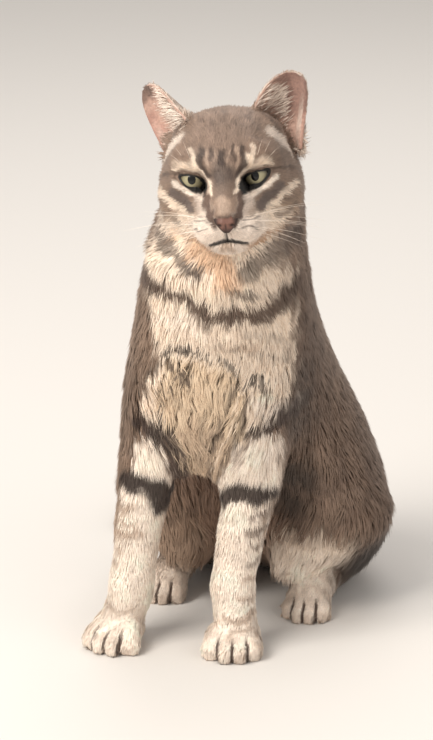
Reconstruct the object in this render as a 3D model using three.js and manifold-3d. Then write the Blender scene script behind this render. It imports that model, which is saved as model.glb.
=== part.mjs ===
// A sitting short-haired cat at life size, in millimetres: +Z up, facing -Y, its own left side towards +X.
// The whole animal is one smooth field of distances, blended from tapered limbs and eggs that follow its
// skeleton and reach out to the tips of its coat. Each region of the field becomes a closed mesh at its own
// fineness, and thin cuts part the body into head, neck, trunk, tail, legs and paws. Ears, eyes and nose
// leather are pieces of their own.
import * as THREE from "three";
import { mergeVertices } from "three/addons/utils/BufferGeometryUtils.js";
import Module from "manifold-3d";

const wasm = await Module();
wasm.setup();

// ---------- driving dimensions ----------
const cutGap = 0.35; // between neighbouring pieces
const floorLevel = 0;

const eyeball = { radius: 10.2, apart: 42, y: -23.4, z: 1 };
const eyeOpening = { halfWidth: 10.5, upper: 5.6, lower: 3.2, slant: 30, below: 1.5 };
const noseLeather = { halfWidth: 8, top: -19.5, bottom: -31.5, back: -57 };
const ear = { halfWidth: 18.5, thickness: 2.6, lean: 11 };
const earPlaces = {
  left: { at: [32, 8, 30], turn: [-6, 0, 0], height: 31, buried: 20 },
  right: { at: [-36.5, 8, 27], turn: [-6, -47, -56], height: 49, buried: 10 },
};

// The head's own frame lies midway between the eyes' level and the occiput, with the face towards its -Y.
const headPlace = { at: [11, 34, 328], pitch: 5, yaw: 16, roll: -4.5 };

// Size of the cells that each region of the body is meshed with.
const fineness = {
  face: 5.9,
  skull: 13,
  neck: 15.6,
  trunk: 18,
  foreleg: 12,
  hindleg: 17.4,
  paw: 6.4,
  tail: 19,
};

const pawWidth = { fore: 42, hind: 36 };
const toePadSunk = 1.2; // how far the toe pads are flattened on the floor

const names = ["left", "right"];
const signOf = (name) => (name === "left" ? 1 : -1);

// ---------- skeleton ----------
const spine = {
  nape: [6, 66, 308],
  neckBase: [-2, 62, 258],
  withers: [-4, 84, 236],
  chest: [-7, 47, 198],
  ribs: [-4, 102, 178],
  loin: [-4, 144, 118],
  rump: [-4, 182, 62],
};
const foreLeft = {
  shoulder: [34, 54, 218],
  elbow: [28, 44, 138],
  wrist: [17, 26, 38],
  knuckles: [22, 12, 17],
  toeTurn: -18,
};
const foreRight = {
  shoulder: [-42, 44, 214],
  elbow: [-44, 30, 138],
  wrist: [-51, 12, 36],
  knuckles: [-57, -2, 17],
  toeTurn: 6,
};
const hipMiddle = -5;
const hind = {
  hip: [42, 172, 78],
  knee: [72, 106, 84],
  hock: [54, 164, 22],
  knuckles: [53, 97, 15],
  toeTurn: -3,
};
const tailRoute = [
  [1, 206, 44],
  [0, 236, 27],
  [-10, 268, 19],
  [-36, 298, 16],
  [-74, 310, 15],
  [-110, 298, 14],
  [-134, 268, 13],
  [-136, 236, 11],
  [-130, 212, 10],
];

// ---------- fields: each takes a point and gives its distance from a surface, negative inside ----------
const radians = THREE.MathUtils.degToRad;

// A tapered limb from a to b, its section squeezed by flat across X.
function limb(a, b, startRadius, endRadius, flat = 1) {
  const [ax, ay, az] = a;
  const run = [(b[0] - ax) / flat, b[1] - ay, b[2] - az];
  const squared = run[0] ** 2 + run[1] ** 2 + run[2] ** 2;
  return (x, y, z) => {
    const px = (x - ax) / flat;
    const py = y - ay;
    const pz = z - az;
    const along = Math.min(1, Math.max(0, (px * run[0] + py * run[1] + pz * run[2]) / squared));
    const off = Math.hypot(px - run[0] * along, py - run[1] * along, pz - run[2] * along);
    return off - (startRadius + (endRadius - startRadius) * along);
  };
}

// An egg with three radii, turned by degrees about X, Y and Z.
function egg(centre, radii, turn = [0, 0, 0]) {
  const rotation = new THREE.Euler(...turn.map(radians));
  const back = new THREE.Matrix4().makeRotationFromEuler(rotation).transpose().elements;
  const [rx, ry, rz] = radii;
  return (x, y, z) => {
    const px = x - centre[0];
    const py = y - centre[1];
    const pz = z - centre[2];
    const qx = back[0] * px + back[4] * py + back[8] * pz;
    const qy = back[1] * px + back[5] * py + back[9] * pz;
    const qz = back[2] * px + back[6] * py + back[10] * pz;
    const reach = Math.hypot(qx / rx, qy / ry, qz / rz);
    const slope = Math.hypot(qx / rx ** 2, qy / ry ** 2, qz / rz ** 2);
    return slope < 1e-9 ? -Math.min(rx, ry, rz) : (reach * (reach - 1)) / slope;
  };
}

// Joins fields with a fillet of about the given width.
function blend(width, ...fields) {
  return (x, y, z) => {
    let joined = fields[0](x, y, z);
    for (let i = 1; i < fields.length; i++) {
      const next = fields[i](x, y, z);
      const share = Math.max(width - Math.abs(joined - next), 0) / width;
      joined = Math.min(joined, next) - (share * share * width) / 4;
    }
    return joined;
  };
}

// Hollows base with tool, with the same soft edge.
function hollow(width, base, tool) {
  return (x, y, z) => {
    const kept = base(x, y, z);
    const cut = -tool(x, y, z);
    const share = Math.max(width - Math.abs(kept - cut), 0) / width;
    return Math.max(kept, cut) + (share * share * width) / 4;
  };
}

const paired = (field) => (x, y, z) => field(Math.abs(x), y, z);

function placed(field, matrix) {
  const m = matrix.clone().invert().elements;
  return (x, y, z) =>
    field(
      m[0] * x + m[4] * y + m[8] * z + m[12],
      m[1] * x + m[5] * y + m[9] * z + m[13],
      m[2] * x + m[6] * y + m[10] * z + m[14],
    );
}

const headMatrix = new THREE.Matrix4().compose(
  new THREE.Vector3(...headPlace.at),
  new THREE.Quaternion().setFromEuler(
    new THREE.Euler(radians(-headPlace.pitch), radians(headPlace.roll), radians(headPlace.yaw), "ZXY"),
  ),
  new THREE.Vector3(1, 1, 1),
);

// ---------- the body's fields ----------
function headField() {
  const skull = egg([0, 4, 5], [41, 44, 32]);
  const crown = egg([0, 6, 21], [31, 27, 17]);
  const occiput = egg([0, 26, -2], [35, 30, 34]);
  const sides = paired(
    blend(
      12,
      egg([26, 0, -15], [20.5, 27, 23]), // cheek
      egg([19, -25, 11], [13, 11, 9], [0, 0, -18]), // brow
      limb([8, -34, -36], [27, 2, -28], 7.5, 13), // jaw
    ),
  );
  const bridge = limb([0, -30, 4], [0, -50, -20], 12.5, 8.6);
  const maxilla = paired(egg([10, -34, -18], [12, 14, 13]));
  const pads = paired(egg([9.4, -45.5, -30.5], [12, 12, 9], [0, 0, -16]));
  const chin = egg([0, -42, -39], [10.5, 10.5, 8.5]);
  const noseTip = egg([0, -57, -25], [7.5, 5.5, 6.5]);
  const throat = egg([0, 8, -26], [30, 32, 22]);
  const whole = blend(14, skull, crown, occiput, throat, sides);
  const muzzle = blend(5, blend(8, bridge, maxilla, pads, chin), noseTip);
  const sockets = paired(egg([22, -44, -1], [9.5, 8, 8]));
  const lids = paired(egg([eyeball.apart / 2, -24, 0], [13, 13, 11.5]));
  return placed(blend(4, hollow(7, blend(12, whole, muzzle), sockets), lids), headMatrix);
}

// Four toes in a row under the knuckles, the middle two further forward.
function pawField(leg, width) {
  const turn = radians(leg.toeTurn);
  const [kx, ky] = leg.knuckles;
  const toeRadius = width * 0.168;
  const toes = [-1.5, -0.5, 0.5, 1.5].map((step) => {
    const reach = Math.abs(step) < 1 ? 17.5 : 11.5;
    const aside = step * toeRadius * 1.38;
    const spot = (side, forward, z) => [
      kx + side * Math.cos(turn) - forward * Math.sin(turn),
      ky - side * Math.sin(turn) - forward * Math.cos(turn),
      z,
    ];
    const root = spot(aside * 0.72, -2, 15);
    const tip = spot(aside, reach - toeRadius * 0.6, toeRadius - toePadSunk);
    return limb(root, tip, toeRadius, toeRadius);
  });
  return blend(1.6, ...toes);
}

function foreField(leg) {
  const [ex, ey, ez] = leg.elbow;
  const bone = blend(
    14,
    limb(leg.shoulder, leg.elbow, 24, 21),
    limb(leg.elbow, [leg.wrist[0], leg.wrist[1], leg.wrist[2] + 10], 20, 14.4),
    limb([ex, ey + 14, ez + 4], [ex * 0.97, ey + 6, ez - 34], 10, 8),
  );
  const pastern = limb(leg.wrist, [leg.knuckles[0], leg.knuckles[1] + 8, 15], 14.8, 13.6);
  const heelPad = egg([leg.knuckles[0], leg.knuckles[1] + 12, 8], [13.5, 13, 9]);
  return blend(4, blend(9, bone, pastern, heelPad), pawField(leg, pawWidth.fore));
}

function hindField() {
  const thigh = limb(hind.hip, hind.knee, 47, 31);
  const shank = limb([hind.knee[0] - 2, hind.knee[1] + 6, 66], [54, 160, 32], 25, 19);
  const heel = egg([59, 172, 42], [29, 33, 43]);
  const metatarsus = limb(hind.hock, hind.knuckles, 14.5, 12.5);
  const softInside = egg([38, 112, 52], [24, 32, 30]);
  const upper = blend(18, thigh, shank, softInside, heel);
  return blend(4, blend(10, upper, metatarsus), pawField(hind, pawWidth.hind));
}

function tailField() {
  const curve = new THREE.CatmullRomCurve3(tailRoute.map((p) => new THREE.Vector3(...p)));
  const steps = 22;
  const tipShare = 0.14; // the last stretch, which narrows to a blunt tip
  const radius = (share) => 19 - 5.5 * share - (4.5 * Math.max(0, share - 1 + tipShare)) / tipShare;
  const lengths = Array.from({ length: steps }, (_, i) => {
    const start = curve.getPointAt(i / steps);
    const end = curve.getPointAt((i + 1) / steps);
    return limb(start.toArray(), end.toArray(), radius(i / steps), radius((i + 1) / steps));
  });
  return blend(6, ...lengths);
}

const head = headField();
const neck = blend(
  20,
  limb(spine.neckBase, spine.nape, 55, 43),
  egg([5, 26, 262], [44, 30, 36]), // ruff under the throat
);
const chest = blend(
  18,
  egg(spine.chest, [52, 50, 58]),
  egg([-3, 26, 156], [26, 19, 38], [12, 0, 0]), // long fur between the forelegs
);
const torso = blend(
  26,
  limb(spine.withers, spine.ribs, 47, 54, 0.94),
  limb(spine.ribs, spine.loin, 54, 55, 0.96),
  limb(spine.loin, spine.rump, 55, 56, 1.08),
  egg([hipMiddle, 206, 34], [50, 30, 36]), // seat
);
const oneHind = hindField();
const hindLegs = (x, y, z) => oneHind(Math.abs(x - hipMiddle), y, z);
const foreLegs = blend(6, foreField(foreLeft), foreField(foreRight));
const tail = tailField();
const body = blend(
  12,
  blend(18, blend(22, torso, neck, chest), foreLegs),
  blend(20, hindLegs, torso),
  blend(16, tail, torso),
  head,
);

// ---------- from field to mesh ----------
// Surface nets: one vertex in each cell that the surface crosses, drawn onto the surface, and one quad round
// each crossed edge. The field is closed off at the box, so that every mesh is a solid.
function meshOf(field, low, high, cell) {
  const count = low.map((v, i) => Math.ceil((high[i] - v) / cell) + 3);
  const start = low.map((v) => v - cell);
  const closed = (x, y, z) => {
    const past = Math.max(low[0] - x, x - high[0], low[1] - y, y - high[1], low[2] - z, z - high[2]);
    return Math.max(field(x, y, z), past);
  };
  const index = (i, j, k) => i + count[0] * (j + count[1] * k);
  const values = new Float64Array(count[0] * count[1] * count[2]);
  for (let k = 0; k < count[2]; k++)
    for (let j = 0; j < count[1]; j++)
      for (let i = 0; i < count[0]; i++) {
        const value = closed(start[0] + i * cell, start[1] + j * cell, start[2] + k * cell);
        values[index(i, j, k)] = Math.abs(value) < 1e-6 ? 1e-6 : value;
      }

  fillPinches(values, count, index);

  const corners = [0, 1, 2, 3, 4, 5, 6, 7].map((c) => [c & 1, (c >> 1) & 1, c >> 2]);
  const edges = [];
  for (let c = 0; c < 8; c++) for (const bit of [1, 2, 4]) if (!(c & bit)) edges.push([c, c | bit]);
  const vertexAt = new Map();
  const positions = [];

  function addVertex(i, j, k) {
    const around = corners.map(([a, b, c]) => values[index(i + a, j + b, k + c)]);
    const point = [0, 0, 0];
    let crossings = 0;
    for (const [a, b] of edges) {
      if (around[a] < 0 === around[b] < 0) continue;
      const share = around[a] / (around[a] - around[b]);
      for (let axis = 0; axis < 3; axis++)
        point[axis] += corners[a][axis] + share * (corners[b][axis] - corners[a][axis]);
      crossings++;
    }
    if (!crossings) return;
    const p = point.map((v, axis) => start[axis] + cell * ([i, j, k][axis] + v / crossings));
    drawOnto(closed, p, cell);
    vertexAt.set(index(i, j, k), positions.length / 3);
    positions.push(...p);
  }
  for (let k = 0; k < count[2] - 1; k++)
    for (let j = 0; j < count[1] - 1; j++) for (let i = 0; i < count[0] - 1; i++) addVertex(i, j, k);

  const faces = [];
  const steps = [[1, 0, 0], [0, 1, 0], [0, 0, 1]];
  for (let k = 1; k < count[2] - 1; k++)
    for (let j = 1; j < count[1] - 1; j++)
      for (let i = 1; i < count[0] - 1; i++) {
        const here = values[index(i, j, k)];
        steps.forEach((step, axis) => {
          const there = values[index(i + step[0], j + step[1], k + step[2])];
          if (here < 0 === there < 0) return;
          const [u, v] = [steps[(axis + 1) % 3], steps[(axis + 2) % 3]];
          const quad = [[0, 0], [1, 0], [1, 1], [0, 1]].map(([s, t]) =>
            vertexAt.get(index(i - s * u[0] - t * v[0], j - s * u[1] - t * v[1], k - s * u[2] - t * v[2])),
          );
          if (here > 0) quad.reverse();
          faces.push(quad[0], quad[1], quad[2], quad[0], quad[2], quad[3]);
        });
      }
  const geometry = new THREE.BufferGeometry();
  geometry.setAttribute("position", new THREE.Float32BufferAttribute(positions, 3));
  geometry.setIndex(faces);
  return geometry;
}

// Where the inside touches itself only across the diagonal of a grid square, one more corner is taken in, so
// that no edge of the mesh is shared by more than two faces.
function fillPinches(values, count, index) {
  const squares = [[[1, 0, 0], [0, 1, 0]], [[0, 1, 0], [0, 0, 1]], [[1, 0, 0], [0, 0, 1]]];
  const justInside = -0.05;
  let filled = true;
  while (filled) {
    filled = false;
    for (let k = 0; k < count[2] - 1; k++)
      for (let j = 0; j < count[1] - 1; j++)
        for (let i = 0; i < count[0] - 1; i++)
          for (const [u, v] of squares) {
            const around = [[0, 0], [1, 0], [1, 1], [0, 1]].map(([s, t]) =>
              index(i + s * u[0] + t * v[0], j + s * u[1] + t * v[1], k + s * u[2] + t * v[2]),
            );
            const [a, b, c, d] = around.map((corner) => values[corner] < 0);
            if (a !== c || b !== d || a === b) continue;
            values[a ? around[1] : around[0]] = justInside;
            filled = true;
          }
  }
}

// Moves p along the field's slope onto its surface, by at most half a cell.
function drawOnto(field, p, cell) {
  const h = 0.05;
  for (let turn = 0; turn < 3; turn++) {
    const value = field(...p);
    const slope = [0, 1, 2].map((axis) => {
      const q = [...p];
      q[axis] += h;
      return (field(...q) - value) / h;
    });
    const squared = slope.reduce((sum, s) => sum + s * s, 0) || 1;
    const reach = Math.min(1, (cell * 0.25) / Math.max(1e-6, Math.abs(value) / Math.sqrt(squared)));
    for (let axis = 0; axis < 3; axis++) p[axis] -= (value * slope[axis] * reach) / squared;
  }
}

// ---------- joining and cutting ----------
function solid(geometry) {
  const bare = geometry.clone();
  bare.deleteAttribute("normal");
  bare.deleteAttribute("uv");
  const merged = mergeVertices(bare, 1e-4);
  return new wasm.Manifold(
    new wasm.Mesh({
      numProp: 3,
      vertProperties: new Float32Array(merged.attributes.position.array),
      triVerts: new Uint32Array(merged.index.array),
    }),
  );
}

function geometryOf(manifold) {
  const mesh = manifold.getMesh();
  const geometry = new THREE.BufferGeometry();
  const points = new Float32Array(mesh.numVert * 3);
  for (let i = 0; i < mesh.numVert; i++)
    points.set(mesh.vertProperties.subarray(i * mesh.numProp, i * mesh.numProp + 3), i * 3);
  geometry.setAttribute("position", new THREE.BufferAttribute(points, 3));
  geometry.setIndex(new THREE.BufferAttribute(new Uint32Array(mesh.triVerts), 1));
  return geometry;
}

function block(low, high) {
  const size = high.map((v, i) => v - low[i]);
  const middle = high.map((v, i) => (v + low[i]) / 2);
  return solid(new THREE.BoxGeometry(...size).translate(...middle));
}

// The half space on the far side of a plane, as a big block.
const farAway = 700;
function beyond(point, normal) {
  const geometry = new THREE.BoxGeometry(farAway, farAway, farAway).translate(0, 0, farAway / 2);
  const turn = new THREE.Quaternion().setFromUnitVectors(
    new THREE.Vector3(0, 0, 1),
    new THREE.Vector3(...normal).normalize(),
  );
  return solid(geometry.applyQuaternion(turn).translate(...point));
}

// A prism over an outline, along one axis: "x" for outlines in (y, z), "y" for (x, z), "z" for (x, y).
const unit = { x: new THREE.Vector3(1, 0, 0), y: new THREE.Vector3(0, 1, 0), z: new THREE.Vector3(0, 0, 1) };
const prismFrames = {
  x: new THREE.Matrix4().makeBasis(unit.y, unit.z, unit.x),
  y: new THREE.Matrix4().makeBasis(unit.x, unit.z, unit.y.clone().negate()),
  z: new THREE.Matrix4(),
};
function prism(outline, axis, from, to) {
  const shape = new THREE.Shape(outline.map(([a, b]) => new THREE.Vector2(a, b)));
  const geometry = new THREE.ExtrudeGeometry(shape, { depth: to - from, bevelEnabled: false });
  geometry.translate(0, 0, axis === "y" ? -to : from);
  return solid(geometry.applyMatrix4(prismFrames[axis]));
}

const aboveFloor = block([-farAway, -farAway, floorLevel], [farAway, farAway, farAway]);

// A piece of the body inside a box, at its own fineness, standing on the floor.
function regionOf([low, high], cell) {
  const margin = 1.6 * cell;
  const wider = meshOf(body, low.map((v) => v - margin), high.map((v) => v + margin), cell);
  return solid(wider).intersect(block(low, high)).intersect(aboveFloor);
}

// ---------- cutters: no two pieces share a side of the same plane ----------
const half = cutGap / 2;
const headPlane = { point: [12, 50, 292], normal: [0, -0.42, 0.91] };
const neckPlane = { point: [0, 50, 244], normal: [0, -0.2, 0.98] };
const forepawPlane = { point: [0, 0, 31], normal: [0, 0, 1] };

function side({ point, normal }, sign) {
  const outward = new THREE.Vector3(...normal).normalize();
  const moved = point.map((v, i) => v + outward.getComponent(i) * half * sign);
  return beyond(moved, normal.map((v) => v * sign));
}

// A box between two corners, each side moved out by grow.
const grownBlock = (low, high, grow) => block(low.map((v) => v - grow), high.map((v) => v + grow));

const forelegTop = 115;
const forelegSpan = { left: [-5, 95], right: [-125, -14] };
const foreCut = (name, grow) => {
  const [inner, outer] = forelegSpan[name];
  return grownBlock([inner, -70, -20], [outer, 65, forelegTop], grow);
};

// The haunch from the side, as (y, z).
const haunchOutline = [
  [73, -20],
  [73, 104],
  [92, 130],
  [128, 141],
  [168, 130],
  [200, 100],
  [216, 62],
  [220, -20],
];
const haunchInside = 25;
function hindCut(sign, grow) {
  const centre = [146, 60];
  const grown = haunchOutline.map(([y, z]) => {
    const off = new THREE.Vector2(y - centre[0], z - centre[1]);
    off.setLength(off.length() + grow * 1.15);
    return [centre[0] + off.x, centre[1] + off.y];
  });
  const inner = hipMiddle + (haunchInside - grow) * sign;
  const outer = hipMiddle + 110 * sign;
  return prism(grown, "x", Math.min(inner, outer), Math.max(inner, outer));
}

const tailOutline = [
  [62, 242],
  [62, 345],
  [-165, 345],
  [-165, 180],
  [-116, 180],
  [-116, 242],
];
function tailCut(grow) {
  const grown = tailOutline.map(([x, y]) => [x + Math.sign(x + 120) * grow, y + (y > 300 ? grow : -grow)]);
  return prism(grown, "z", -20, 70);
}

const tailPlanes = [
  { point: [-40, 300, 15], normal: [-0.9, 0.35, 0] },
  { point: [-125, 285, 14], normal: [-0.35, -0.9, 0] },
];

const hindpawCut = (grow) => grownBlock([-100, 60, -20], [100, 122, 33], grow);

// Outlines in the head's own frame, as (x, z).
function eyeOutline(sign) {
  const { halfWidth, upper, lower, slant, below } = eyeOpening;
  const shape = new THREE.Shape();
  shape.moveTo(-halfWidth, 0);
  shape.quadraticCurveTo(0, -2 * lower, halfWidth, 0);
  shape.quadraticCurveTo(-1, 2 * upper, -halfWidth, 0);
  const points = shape.getPoints(5).slice(0, -1);
  const tilt = radians(slant);
  return points.map((p) => [
    sign * (eyeball.apart / 2 + p.x * Math.cos(tilt) - p.y * Math.sin(tilt)),
    eyeball.z - below + p.x * Math.sin(tilt) + p.y * Math.cos(tilt),
  ]);
}

function noseOutline(grow) {
  const { halfWidth, top, bottom } = noseLeather;
  const shape = new THREE.Shape();
  shape.moveTo(-halfWidth - grow, top - 1.5);
  shape.quadraticCurveTo(-halfWidth - grow, top - 6 - grow, -1.5, bottom - grow);
  shape.lineTo(1.5, bottom - grow);
  shape.quadraticCurveTo(halfWidth + grow, top - 6 - grow, halfWidth + grow, top - 1.5);
  shape.quadraticCurveTo(halfWidth * 0.7, top + 1 + grow, 0, top + grow);
  shape.quadraticCurveTo(-halfWidth * 0.7, top + 1 + grow, -halfWidth - grow, top - 1.5);
  return shape.getPoints(4).slice(0, -1).map((p) => [p.x, p.y]);
}

// ---------- ears ----------
// A closed skin over a row of rings with the same number of points each.
function loft(rings) {
  const size = rings[0].length;
  const positions = rings.flat().flat();
  const faces = [];
  for (let row = 0; row + 1 < rings.length; row++)
    for (let i = 0; i < size; i++) {
      const a = row * size + i;
      const b = row * size + ((i + 1) % size);
      faces.push(a, b, b + size, a, b + size, a + size);
    }
  const last = (rings.length - 1) * size;
  for (let i = 0; i < size / 2 - 1; i++) {
    const [a, b, c, d] = [i, i + 1, size - 2 - i, size - 1 - i];
    faces.push(a, c, b, a, d, c, last + a, last + b, last + c, last + a, last + c, last + d);
  }
  const geometry = new THREE.BufferGeometry();
  geometry.setAttribute("position", new THREE.Float32BufferAttribute(positions, 3));
  geometry.setIndex(faces);
  return geometry;
}

// A cupped leaf, open to -Y, its outer edge towards +X: each ring runs along its back and returns along its
// inside.
function earGeometry(outward, tip, buried) {
  const rows = 9;
  const columns = 6;
  const rings = [];
  for (let row = 0; row <= rows; row++) {
    const share = row / rows;
    const height = -buried + (tip + buried - 0.4) * (1 - (1 - share) ** 1.35);
    const upward = Math.max(0, height / tip);
    const width = ear.halfWidth * (1 - (0.3 * height) / tip) * Math.sqrt(1 - upward ** 5);
    const bend = radians(78 - 40 * upward);
    const rho = width / Math.sin(bend);
    const ring = [];
    for (const [face, order] of [[1, 1], [-1, -1]])
      for (let i = 0; i <= columns; i++) {
        const t = order * ((2 * i) / columns - 1);
        const reach = rho + (face * ear.thickness) / 2;
        ring.push([
          outward * ((ear.lean * height) / tip + reach * Math.sin(t * bend)),
          reach * Math.cos(t * bend) - rho * Math.cos(bend),
          height,
        ]);
      }
    if (outward > 0) ring.reverse();
    rings.push(ring);
  }
  return loft(rings);
}

function earSolid(name) {
  const { at, turn, height, buried } = earPlaces[name];
  const place = new THREE.Matrix4().compose(
    new THREE.Vector3(...at),
    new THREE.Quaternion().setFromEuler(new THREE.Euler(...turn.map(radians), "ZYX")),
    new THREE.Vector3(1, 1, 1),
  );
  return solid(earGeometry(signOf(name), height, buried).applyMatrix4(place).applyMatrix4(headMatrix));
}

// ---------- pieces of flesh ----------
const pieces = {};

// The boxes that the regions are meshed in. The legs' boxes follow their cuts.
const regions = {
  face: [[-60, -60, 250], [95, 12, 400]],
  skull: [[-60, 11, 250], [95, 115, 400]],
  neck: [[-160, -40, 200], [160, 150, 350]],
  trunk: [[-160, -80, -6], [160, 260, 300]],
  tail: [[-165, 170, -4], [70, 345, 80]],
};
const legDepths = { foreleg: [-80, 76], forepaw: [-80, 76], hindleg: [60, 230], hindpaw: [60, 130] };
const legHeights = { foreleg: [22, 136], forepaw: [-4, 40], hindleg: [-4, 150], hindpaw: [-4, 42] };
function legRegion(kind, [left, right]) {
  const [front, back] = legDepths[kind];
  const [bottom, top] = legHeights[kind];
  const cell = kind.endsWith("paw") ? fineness.paw : fineness[kind];
  return regionOf([[left, front, bottom], [right, back, top]], cell);
}
const hindReach = [18, 114]; // each side of the hips' middle

// A solid in the head's own frame, put in its place.
const onHead = (piece) => solid(geometryOf(piece).applyMatrix4(headMatrix));

function eyeSphere(name, radius) {
  const geometry = new THREE.SphereGeometry(radius, 16, 10).rotateX(Math.PI / 2);
  geometry.translate((signOf(name) * eyeball.apart) / 2, eyeball.y, eyeball.z);
  return solid(geometry.applyMatrix4(headMatrix));
}

let headSolid = regionOf(regions.face, fineness.face)
  .add(regionOf(regions.skull, fineness.skull))
  .intersect(side(headPlane, 1));
const faceFront = -90; // the head's own frame, ahead of the nose
const noseBlock = (grow) => onHead(prism(noseOutline(grow), "y", faceFront, noseLeather.back + grow));
pieces.nose = headSolid.intersect(noseBlock(-half));
headSolid = headSolid.subtract(noseBlock(half));
for (const name of names) {
  const lids = onHead(prism(eyeOutline(signOf(name)), "y", faceFront, eyeball.y));
  pieces[`eye_${name}`] = eyeSphere(name, eyeball.radius);
  headSolid = headSolid.subtract(eyeSphere(name, eyeball.radius + cutGap)).subtract(lids);
}
pieces.head = headSolid;
for (const name of names) {
  const clear = [[0, 0, cutGap], [signOf(name) * cutGap, 0, 0], [0, -cutGap, 0], [0, cutGap, 0]];
  const trimmed = (rest, step) => rest.subtract(headSolid.translate(step));
  pieces[`ear_${name}`] = clear.reduce(trimmed, earSolid(name));
}

pieces.neck = regionOf(regions.neck, fineness.neck)
  .intersect(side(headPlane, -1))
  .intersect(side(neckPlane, 1));
let trunk = regionOf(regions.trunk, fineness.trunk).intersect(side(neckPlane, -1));
trunk = trunk.subtract(tailCut(half));
for (const name of names) {
  trunk = trunk.subtract(foreCut(name, half)).subtract(hindCut(signOf(name), half));
  const foreWidths = [forelegSpan[name][0] - 4, forelegSpan[name][1]];
  pieces[`foreleg_${name}`] = legRegion("foreleg", foreWidths)
    .intersect(foreCut(name, -half))
    .intersect(side(forepawPlane, 1));
  pieces[`forepaw_${name}`] = legRegion("forepaw", foreWidths)
    .intersect(foreCut(name, -half))
    .intersect(side(forepawPlane, -1));
  const hindWidths = hindReach.map((reach) => hipMiddle + reach * signOf(name));
  hindWidths.sort((a, b) => a - b);
  pieces[`hindleg_${name}`] = legRegion("hindleg", hindWidths)
    .intersect(hindCut(signOf(name), -half))
    .subtract(hindpawCut(half));
  pieces[`hindpaw_${name}`] = legRegion("hindpaw", hindWidths)
    .intersect(hindCut(signOf(name), -half))
    .intersect(hindpawCut(-half));
}
pieces.trunk = trunk;
const wholeTail = regionOf(regions.tail, fineness.tail).intersect(tailCut(-half));
pieces.tail_base = wholeTail.intersect(side(tailPlanes[0], -1));
pieces.tail_middle = wholeTail.intersect(side(tailPlanes[0], 1)).intersect(side(tailPlanes[1], -1));
pieces.tail_tip = wholeTail.intersect(side(tailPlanes[0], 1)).intersect(side(tailPlanes[1], 1));

// ---------- the model ----------
const coat = { color: "#8f7765", roughness: 0.95, metalness: 0 };
const paleCoat = { color: "#e6d2c0", roughness: 0.95, metalness: 0 };
const looks = {
  nose: { color: "#66453a", roughness: 0.5, metalness: 0 },
  eye: { color: "#8d8f52", roughness: 0.1, metalness: 0 },
  forepaw: paleCoat,
  foreleg: paleCoat,
  hindpaw: paleCoat,
};
const cat = new THREE.Group();
for (const [name, piece] of Object.entries(pieces)) {
  const kind = name.split("_")[0];
  const mesh = new THREE.Mesh(geometryOf(piece), new THREE.MeshStandardMaterial(looks[kind] ?? coat));
  mesh.name = name;
  cat.add(mesh);
}

// The origin lies on the floor, under the middle of the animal's extent.
const extent = new THREE.Box3().setFromObject(cat);
cat.position.set(-(extent.min.x + extent.max.x) / 2, -(extent.min.y + extent.max.y) / 2, -floorLevel);

export default cat;
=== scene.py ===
import bpy
import math
import numpy as np
from mathutils import Matrix, Vector
from mathutils.bvhtree import BVHTree
from mathutils.kdtree import KDTree


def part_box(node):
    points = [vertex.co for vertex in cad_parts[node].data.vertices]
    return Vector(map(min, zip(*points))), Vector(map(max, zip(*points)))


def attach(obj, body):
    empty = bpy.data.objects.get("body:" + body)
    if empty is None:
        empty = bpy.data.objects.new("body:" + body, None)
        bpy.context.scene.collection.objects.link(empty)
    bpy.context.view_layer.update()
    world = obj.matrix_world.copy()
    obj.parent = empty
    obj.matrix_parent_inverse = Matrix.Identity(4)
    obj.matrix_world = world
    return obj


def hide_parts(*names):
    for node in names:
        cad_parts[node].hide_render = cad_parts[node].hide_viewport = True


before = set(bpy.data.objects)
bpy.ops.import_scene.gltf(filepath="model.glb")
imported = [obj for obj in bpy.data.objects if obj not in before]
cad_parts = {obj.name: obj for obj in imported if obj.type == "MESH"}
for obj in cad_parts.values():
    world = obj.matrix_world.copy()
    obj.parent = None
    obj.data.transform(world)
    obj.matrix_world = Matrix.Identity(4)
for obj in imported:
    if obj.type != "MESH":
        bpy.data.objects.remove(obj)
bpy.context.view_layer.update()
mm = 0.001  # everything below is in millimetres until a mesh is written
random = np.random.default_rng(7)
signOf = {"left": 1, "right": -1}
print("frame loaded:", len(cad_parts), "nodes")


# Small helpers for selecting, meshing and colouring.
def deselectAll():
    for thing in bpy.context.selected_objects:
        thing.select_set(False)


def selectOnly(piece):
    deselectAll()
    piece.select_set(True)
    bpy.context.view_layer.objects.active = piece


# One row of numbers for each item of a mesh's list.
def readAll(items, attribute, width, kind=np.float32):
    flat = np.empty(len(items) * width, kind)
    items.foreach_get(attribute, flat)
    return flat.reshape(-1, width)


def pointsOf(mesh):
    return readAll(mesh.vertices, "co", 3).astype(float) / mm


def setPoints(mesh, points):
    mesh.vertices.foreach_set("co", (points * mm).astype(np.float32).ravel())
    mesh.update()


def normalsOf(mesh):
    return readAll(mesh.vertex_normals, "vector", 3).astype(float)


def edgesOf(mesh):
    return readAll(mesh.edges, "vertices", 2, np.int32)


def unit(vectors):
    lengths = np.linalg.norm(vectors, axis=-1, keepdims=True)
    return vectors / np.maximum(lengths, 1e-9)


def smoothStep(low, high, value):
    share = np.clip((value - low) / (high - low), 0, 1)
    return share * share * (3 - 2 * share)


def mixed(a, b, share):
    return a + (b - a) * share


# 1 where there is no gap, and falling off evenly over the width.
def bump(gap, width):
    return np.exp(-((gap / width) ** 2))


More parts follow.
